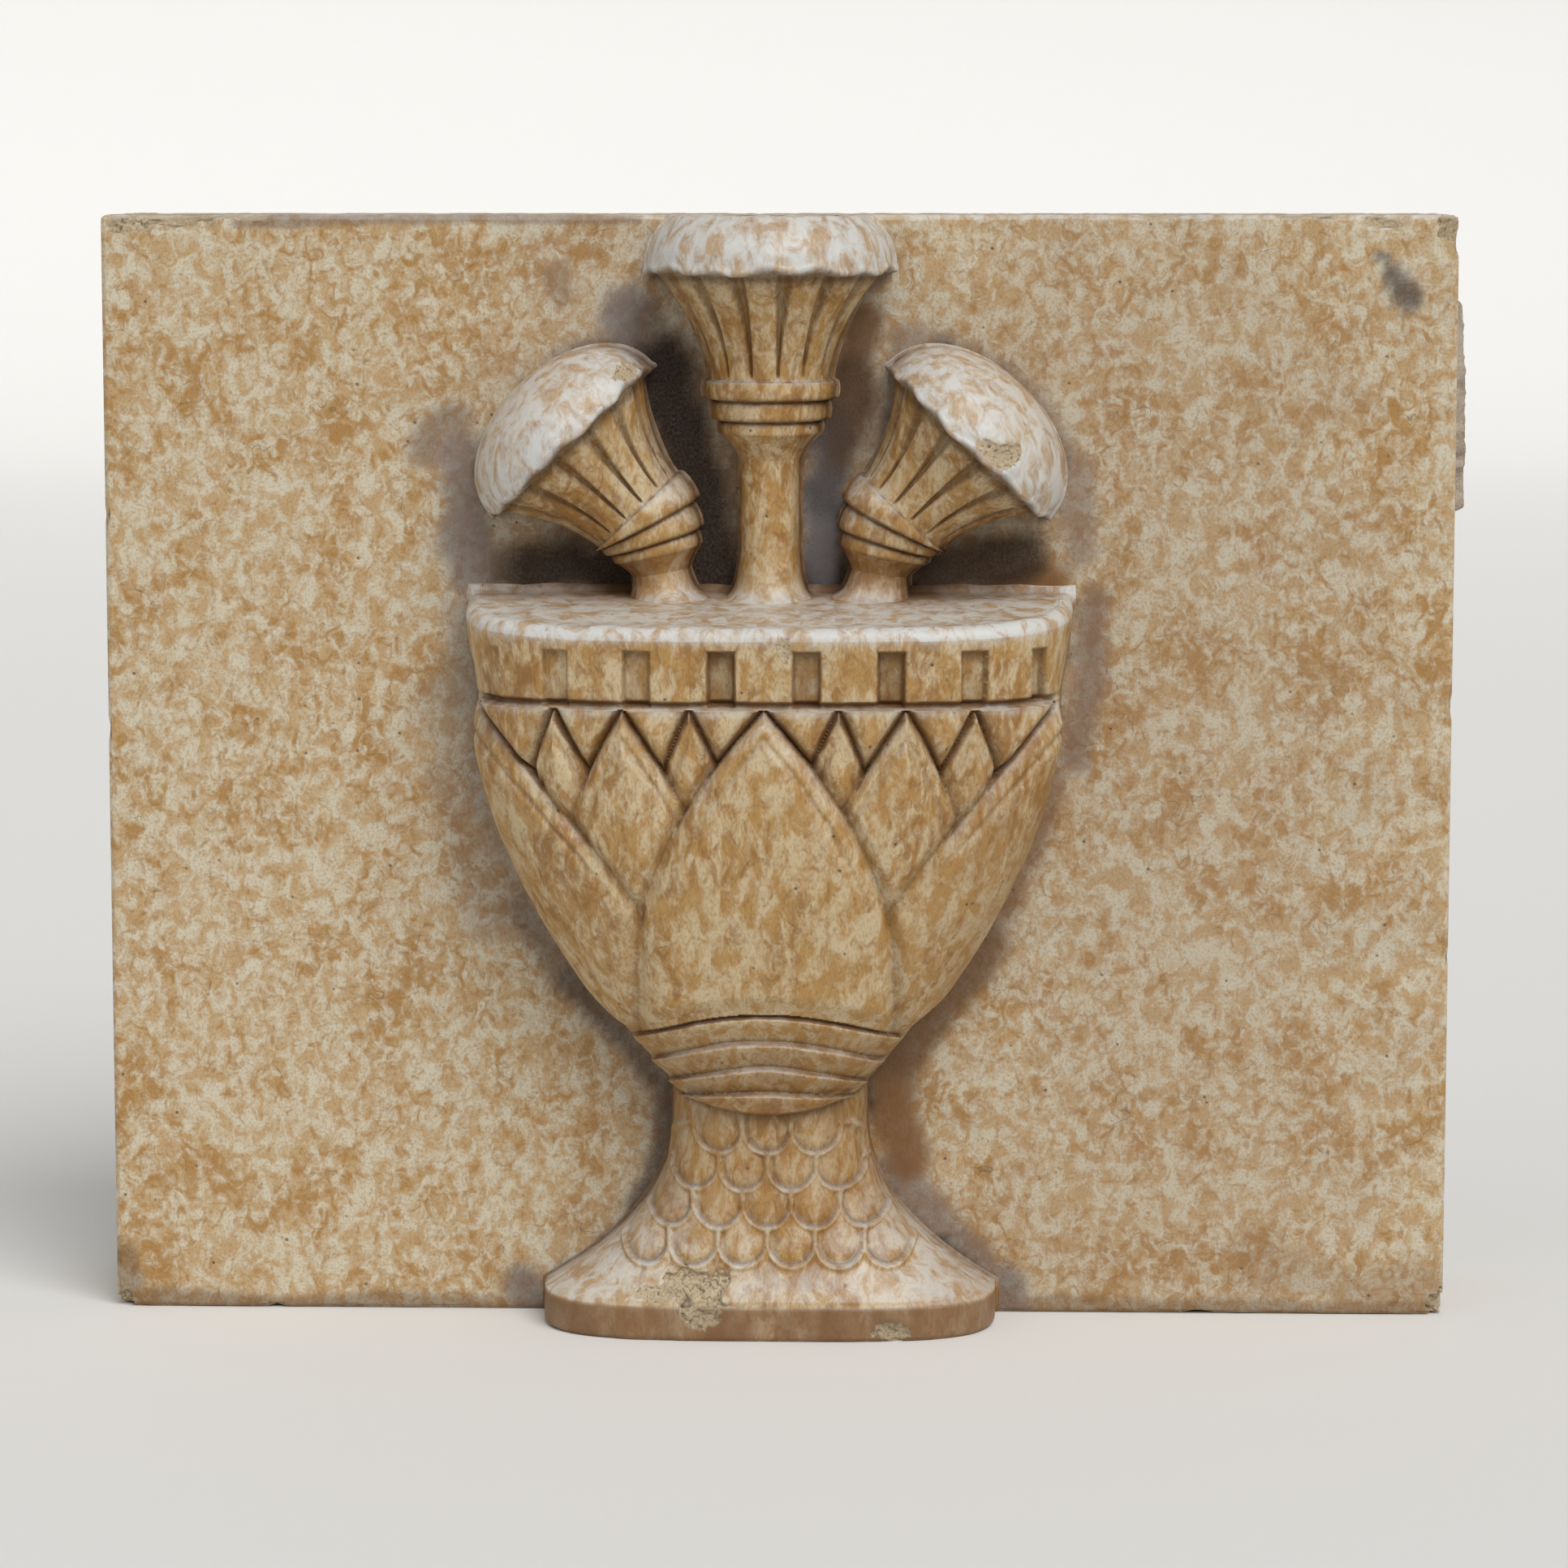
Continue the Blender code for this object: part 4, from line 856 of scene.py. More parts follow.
def urn_section(plan, shares):
    """Points of an oval plan with a cove at the wall, evenly spaced along it: x, depth and normal."""
    half_width, depth, section = plan
    turn = np.linspace(0.0, math.pi / 2.0, 260)
    x = half_width * np.cos(turn) ** (2.0 / section)
    d = depth * np.sin(turn) ** (2.0 / section)
    above = d > COVE
    arc = np.linspace(0.0, math.pi / 2.0, 24)
    start = float(np.interp(COVE, d, x))
    cove_x = start + COVE - COVE * np.sin(arc)
    cove_d = COVE - COVE * np.cos(arc)
    x = np.concatenate(([start + COVE + 0.001], cove_x, x[above]))
    d = np.concatenate(([-BURIED], cove_d, d[above]))
    along = np.concatenate(([0.0], np.cumsum(np.hypot(np.diff(x), np.diff(d)))))
    spot = (1.0 - np.abs(shares)) * along[-1]
    out_x = np.interp(spot, along, x)
    out_d = np.interp(spot, along, d)
    slope_x = np.interp(np.minimum(spot + 0.0006, along[-1]), along, x) - np.interp(
        np.maximum(spot - 0.0006, 0.0), along, x
    )
    slope_d = np.interp(np.minimum(spot + 0.0006, along[-1]), along, d) - np.interp(
        np.maximum(spot - 0.0006, 0.0), along, d
    )
    length = np.maximum(np.hypot(slope_x, slope_d), 1e-9)
    side = np.sign(shares)
    return side * out_x, out_d, side * slope_d / length, -slope_x / length


def urn_front(rows, columns, top_rows, inset=0.0, plain=False):
    """The urn's skin as a grid from under its foot, up the front and over the rim to the wall."""
    shares = np.linspace(-1.0, 1.0, columns)
    top_plan = tuple(float(v) for v in bowl_plan(np.float64(RIM_TOP)))
    _, top_depth, _, _ = urn_section(top_plan, shares)
    face_top = RIM_TOP - WASH_DROP * np.maximum(top_depth, 0.0) / RIM_DEPTH - RIM_ARRIS
    x = np.zeros((rows, columns))
    d = np.zeros((rows, columns))
    z = np.zeros((rows, columns))
    nx = np.zeros((rows, columns))
    nd = np.zeros((rows, columns))
    heights = np.linspace(0.0, RIM_TOP - RIM_ARRIS, rows)
    for index, level in enumerate(heights):
        stretched = np.where(
            level > GROOVE_HEIGHT + 0.006,
            GROOVE_HEIGHT
            + 0.006
            + (level - GROOVE_HEIGHT - 0.006) * (face_top - GROOVE_HEIGHT - 0.006) / (RIM_TOP - RIM_ARRIS - GROOVE_HEIGHT - 0.006),
            level,
        )
        neck = tuple(float(v) for v in neck_plan(np.float64(level)))
        bowl = tuple(float(v) for v in bowl_plan(np.float64(level)))
        x_n, d_n, nx_n, nd_n = urn_section(neck, shares)
        x_b, d_b, nx_b, nd_b = urn_section(bowl, shares)
        hang = ease((level - bowl_edge(x_b) + BOWL_EDGE / 2.0) / BOWL_EDGE)
        for store, under, over in ((x, x_n, x_b), (d, d_n, d_b), (nx, nx_n, nx_b), (nd, nd_n, nd_b)):
            store[index] = under + (over - under) * hang
        z[index] = stretched
    if plain:
        relief = np.zeros_like(x)
        dirt_and_shade = np.zeros_like(x)
    else:
        flat = np.stack((x, d, z), -1).reshape(-1, 3)
        sway_x = HAND_WANDER * wander(flat, 0.020, 51).reshape(x.shape)
        sway_z = HAND_WANDER * wander(flat, 0.020, 52).reshape(x.shape)
        carve_x, carve_z = x + sway_x, z + sway_z
        top_line = band_line(carve_x, BAND_LINES[0])
        petals, petal_dirt_and_shade = petal_relief(carve_x, carve_z)
        over_bands = carve_z - top_line
        petals = petals * (0.45 + 0.55 * ease(over_bands / 0.010))
        bands, band_dirt_and_shade = band_relief(carve_x, carve_z)
        rims_cut, rim_dirt_and_shade = rim_relief(carve_x, carve_z)
        scales, scale_dirt_and_shade = scale_relief(carve_x, carve_z)
        relief = np.where(carve_z > top_line, petals, bands)
        dirt_and_shade = np.where(carve_z > top_line, petal_dirt_and_shade, band_dirt_and_shade)
        rim_zone = carve_z > GROOVE_HEIGHT - GROOVE_HALF_WIDTH
        relief = np.where(rim_zone, rims_cut, relief)
        dirt_and_shade = np.where(rim_zone, rim_dirt_and_shade, dirt_and_shade)
        below = carve_z < bowl_edge(carve_x)
        relief = np.where(below, scales, relief)
        dirt_and_shade = np.where(below, scale_dirt_and_shade, dirt_and_shade)
        # Painted shadow on the scales under the bowl's edge, and dirt with painted shadow where the urn meets the wall,
        # darker on its left
        shadow_under_bowl_edge = np.clip(1.0 - np.abs(carve_z - bowl_edge(carve_x) + 0.0010) / 0.0022, 0.0, 1.0)
        dirt_and_shade = np.maximum(dirt_and_shade, 0.65 * shadow_under_bowl_edge * (np.abs(x) < BOWL_BOTTOM_HALF_WIDTH))
        half_width = np.where(below, neck_plan(z)[0], bowl_plan(z)[0])
        near_bands = np.where(below, 0.0, ease(1.0 - over_bands / 0.022))
        reach = CARVING_FADE + (BAND_FADE - CARVING_FADE) * near_bands
        fade = ease(np.clip(1.0 - np.abs(x) / half_width, 0.0, 1.0) / reach)
        relief = relief * fade
        dirt_and_shade = dirt_and_shade * np.maximum(fade, 0.35)
        foot_arris = 0.0007 * ease(1.0 - np.abs(z - FOOT_BAND) / 0.0022) * fade
        wall_dirt_and_shadow = 0.75 * ease(1.0 - np.abs(d - 0.0005) / 0.0034)
        dirt_and_shade = np.maximum(dirt_and_shade, wall_dirt_and_shadow * (0.65 + 0.35 * ease((URN_X - x) / 0.02)))
        lumps = 0.00035 * wander(flat, 0.012, 53) + 0.00012 * wander(flat, 0.003, 54)
        relief = relief - foot_arris + lumps.reshape(x.shape) * ease((d + 0.0005) / 0.004)
        foot_lip = ease(1.0 - z / 0.002)
        relief = relief - 0.0016 * foot_lip
    out_x = x + nx * (relief - inset * (d > COVE))
    out_d = d + nd * (relief - inset * (d > COVE))

    # Over the arris and back along the sloping top to the wall
    round_steps = top_rows // 3
    top_x = []
    top_d = []
    top_z = []
    last_x, last_d, last_z = out_x[-1], out_d[-1], z[-1]
    arris = RIM_ARRIS * ease((d[-1] + 0.0005) / 0.006)
    lift = RIM_TOP - WASH_DROP * np.maximum(last_d, 0.0) / RIM_DEPTH - last_z
    for step in range(1, round_steps + 1):
        turn = math.pi / 2.0 * step / round_steps
        top_x.append(last_x - nx[-1] * arris * (1.0 - math.cos(turn)))
        top_d.append(last_d - nd[-1] * arris * (1.0 - math.cos(turn)))
        top_z.append(last_z + lift * math.sin(turn))
    flat_steps = top_rows - round_steps
    for step in range(1, flat_steps + 1):
        back = top_d[round_steps - 1] * (1.0 - step / flat_steps) - BURIED * step / flat_steps
        top_x.append(top_x[round_steps - 1])
        top_d.append(back)
        slope = RIM_TOP - WASH_DROP * np.maximum(back, 0.0) / RIM_DEPTH
        cove = 0.003 * ease(1.0 - np.maximum(back, 0.0) / 0.004) ** 2
        blend = step / flat_steps
        top_z.append(top_z[round_steps - 1] + (slope - top_z[round_steps - 1]) * ease(blend * 3.0) + cove)
    top = np.stack((np.array(top_x), -np.array(top_d), np.array(top_z)), -1)
    if not plain:
        flat = top.reshape(-1, 3)
        top[..., 2] += (0.0005 * wander(flat, 0.014, 55) + 0.00015 * wander(flat, 0.004, 56)).reshape(top.shape[:2])
    # The worn mark: wear and painted highlight on the foot's slope, the lip under the groove, the rim's arris and the
    # front of its top
    foot_slope_wear_and_highlight = 0.52 * ease(1.0 - np.abs(z - FOOT_BAND - 0.009) / 0.012) * (d > 0.02)
    lip_wear_and_highlight = 0.5 * ease(1.0 - np.abs(z - GROOVE_HEIGHT + 0.0035) / 0.0022)
    arris_wear_and_highlight = 1.35 * ease(1.0 - (RIM_TOP - WASH_DROP * np.maximum(d, 0.0) / RIM_DEPTH - z) / 0.0105) * (d > 0.004)
    rim_top_wear_and_highlight = 1.15 * ease(1.0 - (last_d - np.array(top_d)) / 0.034)
    front_wear_and_highlight = np.maximum(np.maximum(foot_slope_wear_and_highlight, lip_wear_and_highlight), arris_wear_and_highlight)
    worn = np.concatenate((np.zeros((1, columns)), front_wear_and_highlight, rim_top_wear_and_highlight))
    under = np.stack((out_x[0], np.full(columns, BURIED), np.zeros(columns)), -1)[None]
    front = np.stack((out_x, -out_d, z), -1)
    points = np.concatenate((under, front, top))
    points[:, 0, 1] = BURIED
    points[:, -1, 1] = BURIED
    points[-1, :, 1] = BURIED
    points[..., 0] += URN_X
    marks = np.concatenate((np.zeros((1, columns)), dirt_and_shade, np.zeros((len(top), columns))))
    return points, marks, worn


urn_points, urn_dirt_and_shade, urn_wear_and_highlight = urn_front(URN_ROWS, URN_COLUMNS, TOP_ROWS)

# Losses on the urn: middle in the photograph, half width, half height and depth of the loss in metres
FOOT_FRONT = 0.060
URN_CHIPS = (
    ((862, 1606), 0.0130, 0.0115, 0.0044),
    ((846, 1594), 0.0100, 0.0075, 0.0036),
    ((866, 1633), 0.0078, 0.0062, 0.0040),
    ((808, 1608), 0.0100, 0.0035, 0.0014),
    ((1102, 1653), 0.0085, 0.0052, 0.0030),
)
RIM_FRONT = 0.090
RIM_CHIPS = (((966, 800), 0.0032, 0.0060, 0.0012),)
flat_urn = urn_points.reshape(-1, 3)
urn_raw = np.zeros(len(flat_urn))
flat_dirt_and_shade = urn_dirt_and_shade.reshape(-1)
for chips, chip_depth in ((URN_CHIPS, FOOT_FRONT), (RIM_CHIPS, RIM_FRONT)):
    share, loss, crack = chip_share(flat_urn[:, 0], flat_urn[:, 2], flat_urn, chips, chip_depth)
    front_only = flat_urn[:, 1] < -0.02
    flat_urn[:, 1] += loss * front_only
    urn_raw = np.maximum(urn_raw, share * front_only)
    edge = 0.5 * np.exp(-(((share - 0.35) / 0.30) ** 2)) * (share > 0.01)
    cracked = np.maximum(edge, 0.85 * crack) * front_only
    flat_dirt_and_shade = np.maximum(flat_dirt_and_shade, cracked)
def rim_of(rows, columns, stride=1):
    """The points round the edge of a grid, in order, from its first corner."""
    index = np.arange(rows * columns).reshape(rows, columns)[::stride, ::stride]
    return np.concatenate((index[0, :-1], index[:-1, -1], index[-1, :0:-1], index[:0:-1, 0]))


# The relief is closed behind by a plain skin inside the block's own clay
rows, columns = urn_points.shape[:2]
back_points, _, _ = urn_front(URN_ROWS, URN_COLUMNS, TOP_ROWS, inset=BACK_INSET, plain=True)
back_points = back_points[::BACK_STRIDE, ::BACK_STRIDE].copy()
back_rows, back_columns = back_points.shape[:2]
back_points[..., 0] = URN_X + (back_points[..., 0] - URN_X) * 0.90
back_points[..., 2] = 0.008 + back_points[..., 2] * 0.93
count = rows * columns
front_rim = rim_of(rows, columns)
back_rim = rim_of(back_rows, back_columns) + count
step = np.arange(len(front_rim))
joins = [
    [int(a), int(b), int(c)]
    for a, b, c in zip(front_rim, np.roll(front_rim, -1), back_rim[step // BACK_STRIDE])
]
turns = np.flatnonzero((step + 1) % BACK_STRIDE == 0)
after = (turns + 1) % len(front_rim)
joins += [
    [int(front_rim[b]), int(back_rim[b // BACK_STRIDE]), int(back_rim[a // BACK_STRIDE])]
    for a, b in zip(turns, after)
]
# The groove mark carries the relief's dirt and painted shade, and the worn mark its wear and painted highlight
dense = add_piece(
    "urn_dense",
    np.concatenate((flat_urn, back_points.reshape(-1, 3))),
    grid_faces(rows, columns).tolist() + (grid_faces(back_rows, back_columns)[:, ::-1] + count).tolist() + joins,
    face_glaze,
    {
        mark: np.concatenate((values, np.zeros(back_rows * back_columns)))
        for mark, values in (("groove", flat_dirt_and_shade), ("raw", urn_raw), ("worn", urn_wear_and_highlight.reshape(-1)))
    },
)
thin = dense.modifiers.new("thin", "DECIMATE")
thin.ratio = URN_TRIANGLES / (2.0 * len(dense.data.polygons))
thinned = bpy.data.meshes.new_from_object(dense.evaluated_get(bpy.context.evaluated_depsgraph_get()))
dense_mesh = dense.data
bpy.data.objects.remove(dense)
bpy.data.meshes.remove(dense_mesh)
thinned.name = "papyrus_urn"
urn = bpy.data.objects.new("papyrus_urn", thinned)
bpy.context.scene.collection.objects.link(urn)
outward(urn)
thinned.shade_smooth()
thinned.set_sharp_from_angle(angle=math.radians(60.0))
relief_glaze = sponged_glaze("sponged_glaze_on_the_relief", "#c9b48f", "#b0894f", "#916428", "#4a3118", 0.5)
thinned.materials.clear()
thinned.materials.append(relief_glaze)

# The flowers
# Three papyrus heads, pressed with the block: a round stem, a collar of three rings, a bell of long
# sepals and a thick domed cap with a ragged lip. The outer two bend out from the urn.
STEM_RADIUS, STEM_ROOT_RADIUS = 0.0133, 0.0177
ROOT_RUN = 0.026
ROOT_HEIGHT = 0.3285
FLOWER_STILT = 0.012
LOW_RING_RADIUS, LOW_RING_HEIGHT = 0.0222, 0.0062
MIDDLE_RING_RADIUS, MIDDLE_RING_HEIGHT = 0.0256, 0.0086
COLLAR_RADIUS, COLLAR_HEIGHT = 0.0292, 0.0082
RING_GAP, RING_INSET = 0.0018, 0.0013
CALYX_HEIGHT = 0.0115
BELL_RADIUS, BELL_TOP_RADIUS, BELL_LENGTH, BELL_POWER = 0.0280, 0.0504, 0.0470, 1.8
SEPAL_COUNT = 7
SEPAL_RELIEF = 0.0042
CAP_RADIUS, CAP_EDGE, CAP_DOME = 0.0553, 0.0045, 0.0370
COLLAR_TOP = 0.4275
SIDE_SIZE = 0.885
SIDE_ROOT = Vector((0.0465, 0.320))
SIDE_COLLAR = Vector((0.0595, 0.3685))
SIDE_LEAN = math.radians(43.5)
SIDE_ROOT_LEAN = math.radians(8.0)
FLOWER_ROWS = 330
HALF_ROUND = 190
SIDE_STEPS = 16
FLOWER_COVE = 0.0022


def ring(top, height, radius):
    """A rounded ring from its foot to its top, as places along the stem and radii."""
    turns = np.linspace(math.pi, 0.0, 12)
    return [(top - height / 2.0 + math.cos(t) * height / 2.0, radius - RING_INSET * (1.0 - math.sin(t) ** 0.8)) for t in turns]


def flower_profile(root):
    """Place along the axis from the collar's top, and radius, from the root to the cap's crown."""
    middle_top = -COLLAR_HEIGHT - RING_GAP * 0.4
    low_top = middle_top - MIDDLE_RING_HEIGHT - RING_GAP * 0.4
    calyx_top = low_top - LOW_RING_HEIGHT
    profile = [(root - 0.006, STEM_ROOT_RADIUS * 1.6), (root - 0.0005, STEM_ROOT_RADIUS * 1.34)]
    for s in np.linspace(0.04, 1.0, 22):
        flare = (1.0 - s) ** 2 + 1.4 * math.exp(-s * ROOT_RUN / 0.0022)
        profile.append((root + ROOT_RUN * s, STEM_RADIUS + (STEM_ROOT_RADIUS - STEM_RADIUS) * flare))
    for s in np.linspace(0.0, 1.0, 8):
        swell = s**1.5
        profile.append((calyx_top - CALYX_HEIGHT * (1.0 - s), STEM_RADIUS + (LOW_RING_RADIUS - RING_INSET - STEM_RADIUS) * swell))
    profile += ring(low_top, LOW_RING_HEIGHT, LOW_RING_RADIUS)
    profile += ring(middle_top, MIDDLE_RING_HEIGHT, MIDDLE_RING_RADIUS)
    profile += ring(0.0, COLLAR_HEIGHT, COLLAR_RADIUS)
    for s in np.linspace(0.0, 1.0, 24):
        profile.append((RING_GAP * 0.3 + BELL_LENGTH * s, BELL_RADIUS - 0.0012 * (1.0 - s) ** 6 + (BELL_TOP_RADIUS - BELL_RADIUS) * s**BELL_POWER))
    lip = RING_GAP * 0.3 + BELL_LENGTH
    for turn in np.linspace(-math.pi / 2.0, math.pi / 4.0, 10):
        profile.append((lip + CAP_EDGE / 2.0 + math.sin(turn) * CAP_EDGE / 2.0, CAP_RADIUS - CAP_EDGE / 2.0 + math.cos(turn) * CAP_EDGE / 2.0))
    for turn in np.linspace(0.12, math.pi / 2.0, 24):
        profile.append((lip + CAP_EDGE * 0.75 + CAP_DOME * math.sin(turn), (CAP_RADIUS - 0.0006) * math.cos(turn)))
    return np.array(profile)


def flower_rows(root):
    """The profile at even steps along its own length, with the share of the bell at each step."""
    profile = flower_profile(root)
    along = np.concatenate(([0.0], np.cumsum(np.hypot(*np.diff(profile, axis=0).T))))
    spots = np.linspace(0.0, along[-1], FLOWER_ROWS)
    return np.interp(spots, along, profile[:, 0]), np.interp(spots, along, profile[:, 1])


def flower_section(radius):
    """Across and out from the wall for a stilted half round with a cove, and the turn at each point."""
    cove = np.linspace(0.0, math.pi / 2.0, SIDE_STEPS // 2)
    foot_u = np.concatenate(([radius + FLOWER_COVE + 0.0006], radius + FLOWER_COVE * (1.0 - np.sin(cove))))
    foot_d = np.concatenate(([-BURIED], FLOWER_COVE * (1.0 - np.cos(cove))))
    rise_d = np.linspace(FLOWER_COVE, FLOWER_STILT, SIDE_STEPS // 2)[1:]
    side_u = np.concatenate((foot_u, np.full(len(rise_d), radius)))
    side_d = np.concatenate((foot_d, rise_d))
    turn = np.linspace(math.pi, 0.0, HALF_ROUND)
    u = np.concatenate((-side_u, radius * np.cos(turn), side_u[::-1]))
    d = np.concatenate((side_d, FLOWER_STILT + radius * np.sin(turn), side_d[::-1]))
    turns = np.concatenate((np.full(len(side_u), math.pi), turn, np.zeros(len(side_u))))
    return u, d, turns


def flower_mesh(name, place_at, root, size, seed):
    """One flower: place_at gives the middle and the direction of the axis at a place along it."""
    spots, radii = flower_rows(root)
    lip = RING_GAP * 0.3 + BELL_LENGTH
    grid = []
    dirt_and_shade_rows = []
    for spot, radius in zip(spots, radii):
        u, d, turns = flower_section(radius * size)
        bell = float(rise(0.0, BELL_LENGTH, spot))
        in_bell = ease(rise(0.0, 0.004, spot)) * (spot < lip + 0.0005)
        beat = np.abs(np.sin(SEPAL_COUNT * turns + 0.35 * math.sin(seed)))
        narrow = 0.20 + 0.42 * bell
        groove = ease(1.15 * (1.0 - beat / narrow))
        crown = 0.0010 * (1.0 - beat**2) * (0.4 + 0.6 * bell)
        pinch = (SEPAL_RELIEF * (0.40 + 0.60 * bell) * groove + crown) * in_bell * size
        crease = 0.0004 * np.clip(1.0 - np.abs(beat - 0.90) / 0.06, 0.0, 1.0) * in_bell * bell * size
        out = np.stack((np.cos(turns), np.sin(turns)), -1)
        cut = pinch + crease
        u = u - out[:, 0] * cut
        d = d - out[:, 1] * cut * (d > FLOWER_COVE)
        # Dirt and painted shade in the grooves between the sepals, painted shadow under the cap's lip and painted shade
        # in the gaps between the rings
        line = np.clip(1.0 - np.abs(beat - narrow * 0.75) / (narrow * 0.45), 0.0, 1.0)
        dirt_and_shade = np.maximum(0.40 * groove, 0.52 * line) * in_bell * (0.6 + 0.4 * bell)
        shadow_under_lip = math.exp(-(((spot - lip + 0.0015) / 0.0030) ** 2)) * 0.75
        gaps = [0.0, -COLLAR_HEIGHT, -COLLAR_HEIGHT - RING_GAP * 0.4 - MIDDLE_RING_HEIGHT]
        gap_shade = max(math.exp(-(((spot - g) / 0.0011) ** 2)) for g in gaps) * 0.28
        dirt_and_shade = np.maximum(dirt_and_shade, max(shadow_under_lip, gap_shade) * np.ones_like(dirt_and_shade))
        lobes = 0.0010 * np.cos(2.0 * SEPAL_COUNT * turns) + 0.0009 * np.sin(5.0 * turns + seed)
        shift = -lobes * ease(rise(lip - 0.001, lip + 0.001, spot)) * (1.0 - ease(rise(lip + 0.004, lip + 0.016, spot)))
        (x, z), (dx, dz) = place_at(spot * size)
        row = np.stack((x + dz * u + dx * shift * size, -d, z - dx * u + dz * shift * size), -1)
        grid.append(row)
        dirt_and_shade_rows.append(dirt_and_shade)
    points = np.array(grid)
    rows, columns = points.shape[:2]
    flat = points.reshape(-1, 3)
    cap = np.repeat(ease(rise(lip - 0.0005, lip + 0.002, spots)), columns)
    rough = 0.00035 * wander(flat, 0.010, seed) + 0.00015 * wander(flat, 0.0025, seed + 1)
    ragged = 0.0008 * wander(flat, 0.005, seed + 2) * cap * np.repeat(1.0 - ease(rise(lip + 0.004, lip + 0.014, spots)), columns)
    buried = flat[:, 1] > -0.001
    flat[:, 1] -= np.where(buried, 0.0, rough + ragged)
    flat[:, 2] += np.where(buried, 0.0, 0.6 * ragged)
    flat[:, 2] = np.minimum(flat[:, 2], BLOCK_TOP - 0.0004 + 0.0004 * wander(flat, 0.006, seed + 3))
    faces = grid_faces(rows, columns).tolist()
    index = np.arange(rows * columns).reshape(rows, columns)
    for low, high in zip(index, index[1:]):
        faces.append([int(low[-1]), int(low[0]), int(high[0]), int(high[-1])])
    faces.append([int(i) for i in index[0]])
    faces.append([int(i) for i in index[-1][::-1]])
    chipped, loss, crack = chip_share(flat[:, 0], flat[:, 2], flat, CAP_CHIPS, CAP_FRONT)
    on_cap = np.repeat(spots > lip - 0.006, columns) & (flat[:, 1] < -0.01)
    flat[:, 1] += loss * on_cap
    # Wear and painted highlight on the cap's dome
    cap_wear_and_highlight = np.repeat(ease(rise(lip - 0.001, lip + 0.0015, spots)) * (1.05 - 0.35 * rise(lip + 0.006, lip + 0.04, spots)), columns)
    dark = np.maximum(np.concatenate(dirt_and_shade_rows), 0.9 * crack * on_cap)
    marks = {"groove": dark, "raw": chipped * on_cap, "worn": cap_wear_and_highlight}
    made = add_piece(name, flat, faces, relief_glaze, marks, sharp=60.0)
    outward(made)
    return made


# The one loss on the caps: middle in the photograph, half width, half height and depth in metres
CAP_FRONT = 0.052
CAP_CHIPS = (((1234, 560), 0.0085, 0.0062, 0.0028), ((1216, 548), 0.0045, 0.0030, 0.0018), ((768, 462), 0.0060, 0.0035, 0.0014))


def upright_axis(along):
    return (URN_X, COLLAR_TOP + along), (0.0, 1.0)


def bent_axis(side):
    """A place and direction along a stem that bends out and then runs straight."""
    heading = Vector((math.sin(SIDE_LEAN), math.cos(SIDE_LEAN)))
    first = Vector((math.sin(SIDE_ROOT_LEAN), math.cos(SIDE_ROOT_LEAN)))
    pulls = (SIDE_ROOT, SIDE_ROOT + 0.018 * first, SIDE_COLLAR - 0.014 * heading, SIDE_COLLAR)
    shares = np.linspace(0.0, 1.0, 200)
    weights = np.stack(((1 - shares) ** 3, 3 * (1 - shares) ** 2 * shares, 3 * (1 - shares) * shares**2, shares**3), -1)
    curve = weights @ np.array([tuple(p) for p in pulls])
    lengths = np.concatenate(([0.0], np.cumsum(np.hypot(*np.diff(curve, axis=0).T))))
    slopes = np.gradient(curve, axis=0)
    slopes /= np.linalg.norm(slopes, axis=1)[:, None]

    def place_at(along):
        if along >= 0.0:
            spot = SIDE_COLLAR + heading * along
            way = heading
        else:
            back = lengths[-1] + along
            spot = Vector((np.interp(back, lengths, curve[:, 0]), np.interp(back, lengths, curve[:, 1])))
            if back < 0.0:
                spot = SIDE_ROOT + first * back
            way = Vector((np.interp(back, lengths, slopes[:, 0]), np.interp(back, lengths, slopes[:, 1])))
        return (URN_X + side * spot.x, spot.y), (side * way.x, way.y)

    return place_at, lengths[-1]


left_axis, stem_length = bent_axis(-1.0)
right_axis, _ = bent_axis(1.0)
side_root = (ROOT_HEIGHT - SIDE_ROOT.y - stem_length) / SIDE_SIZE
flowers = [
    flower_mesh("middle_flower", upright_axis, ROOT_HEIGHT - COLLAR_TOP, 1.0, 61),
    flower_mesh("left_flower", left_axis, side_root, SIDE_SIZE, 71),
    flower_mesh("right_flower", right_axis, side_root, SIDE_SIZE, 81),
]

# Soot, dirt and painted shade
# City air has left grey soot around the relief where rain never reached, brown stains under it, and near black dirt
# deep between the stems; painted shade is laid in with them. How shut in each spot is decides how dark it is painted.
SHADE_RAYS = 24
SHADE_SPACING = 0.0045
SHADE_REACH = 0.060
SHADE_MIX = 5

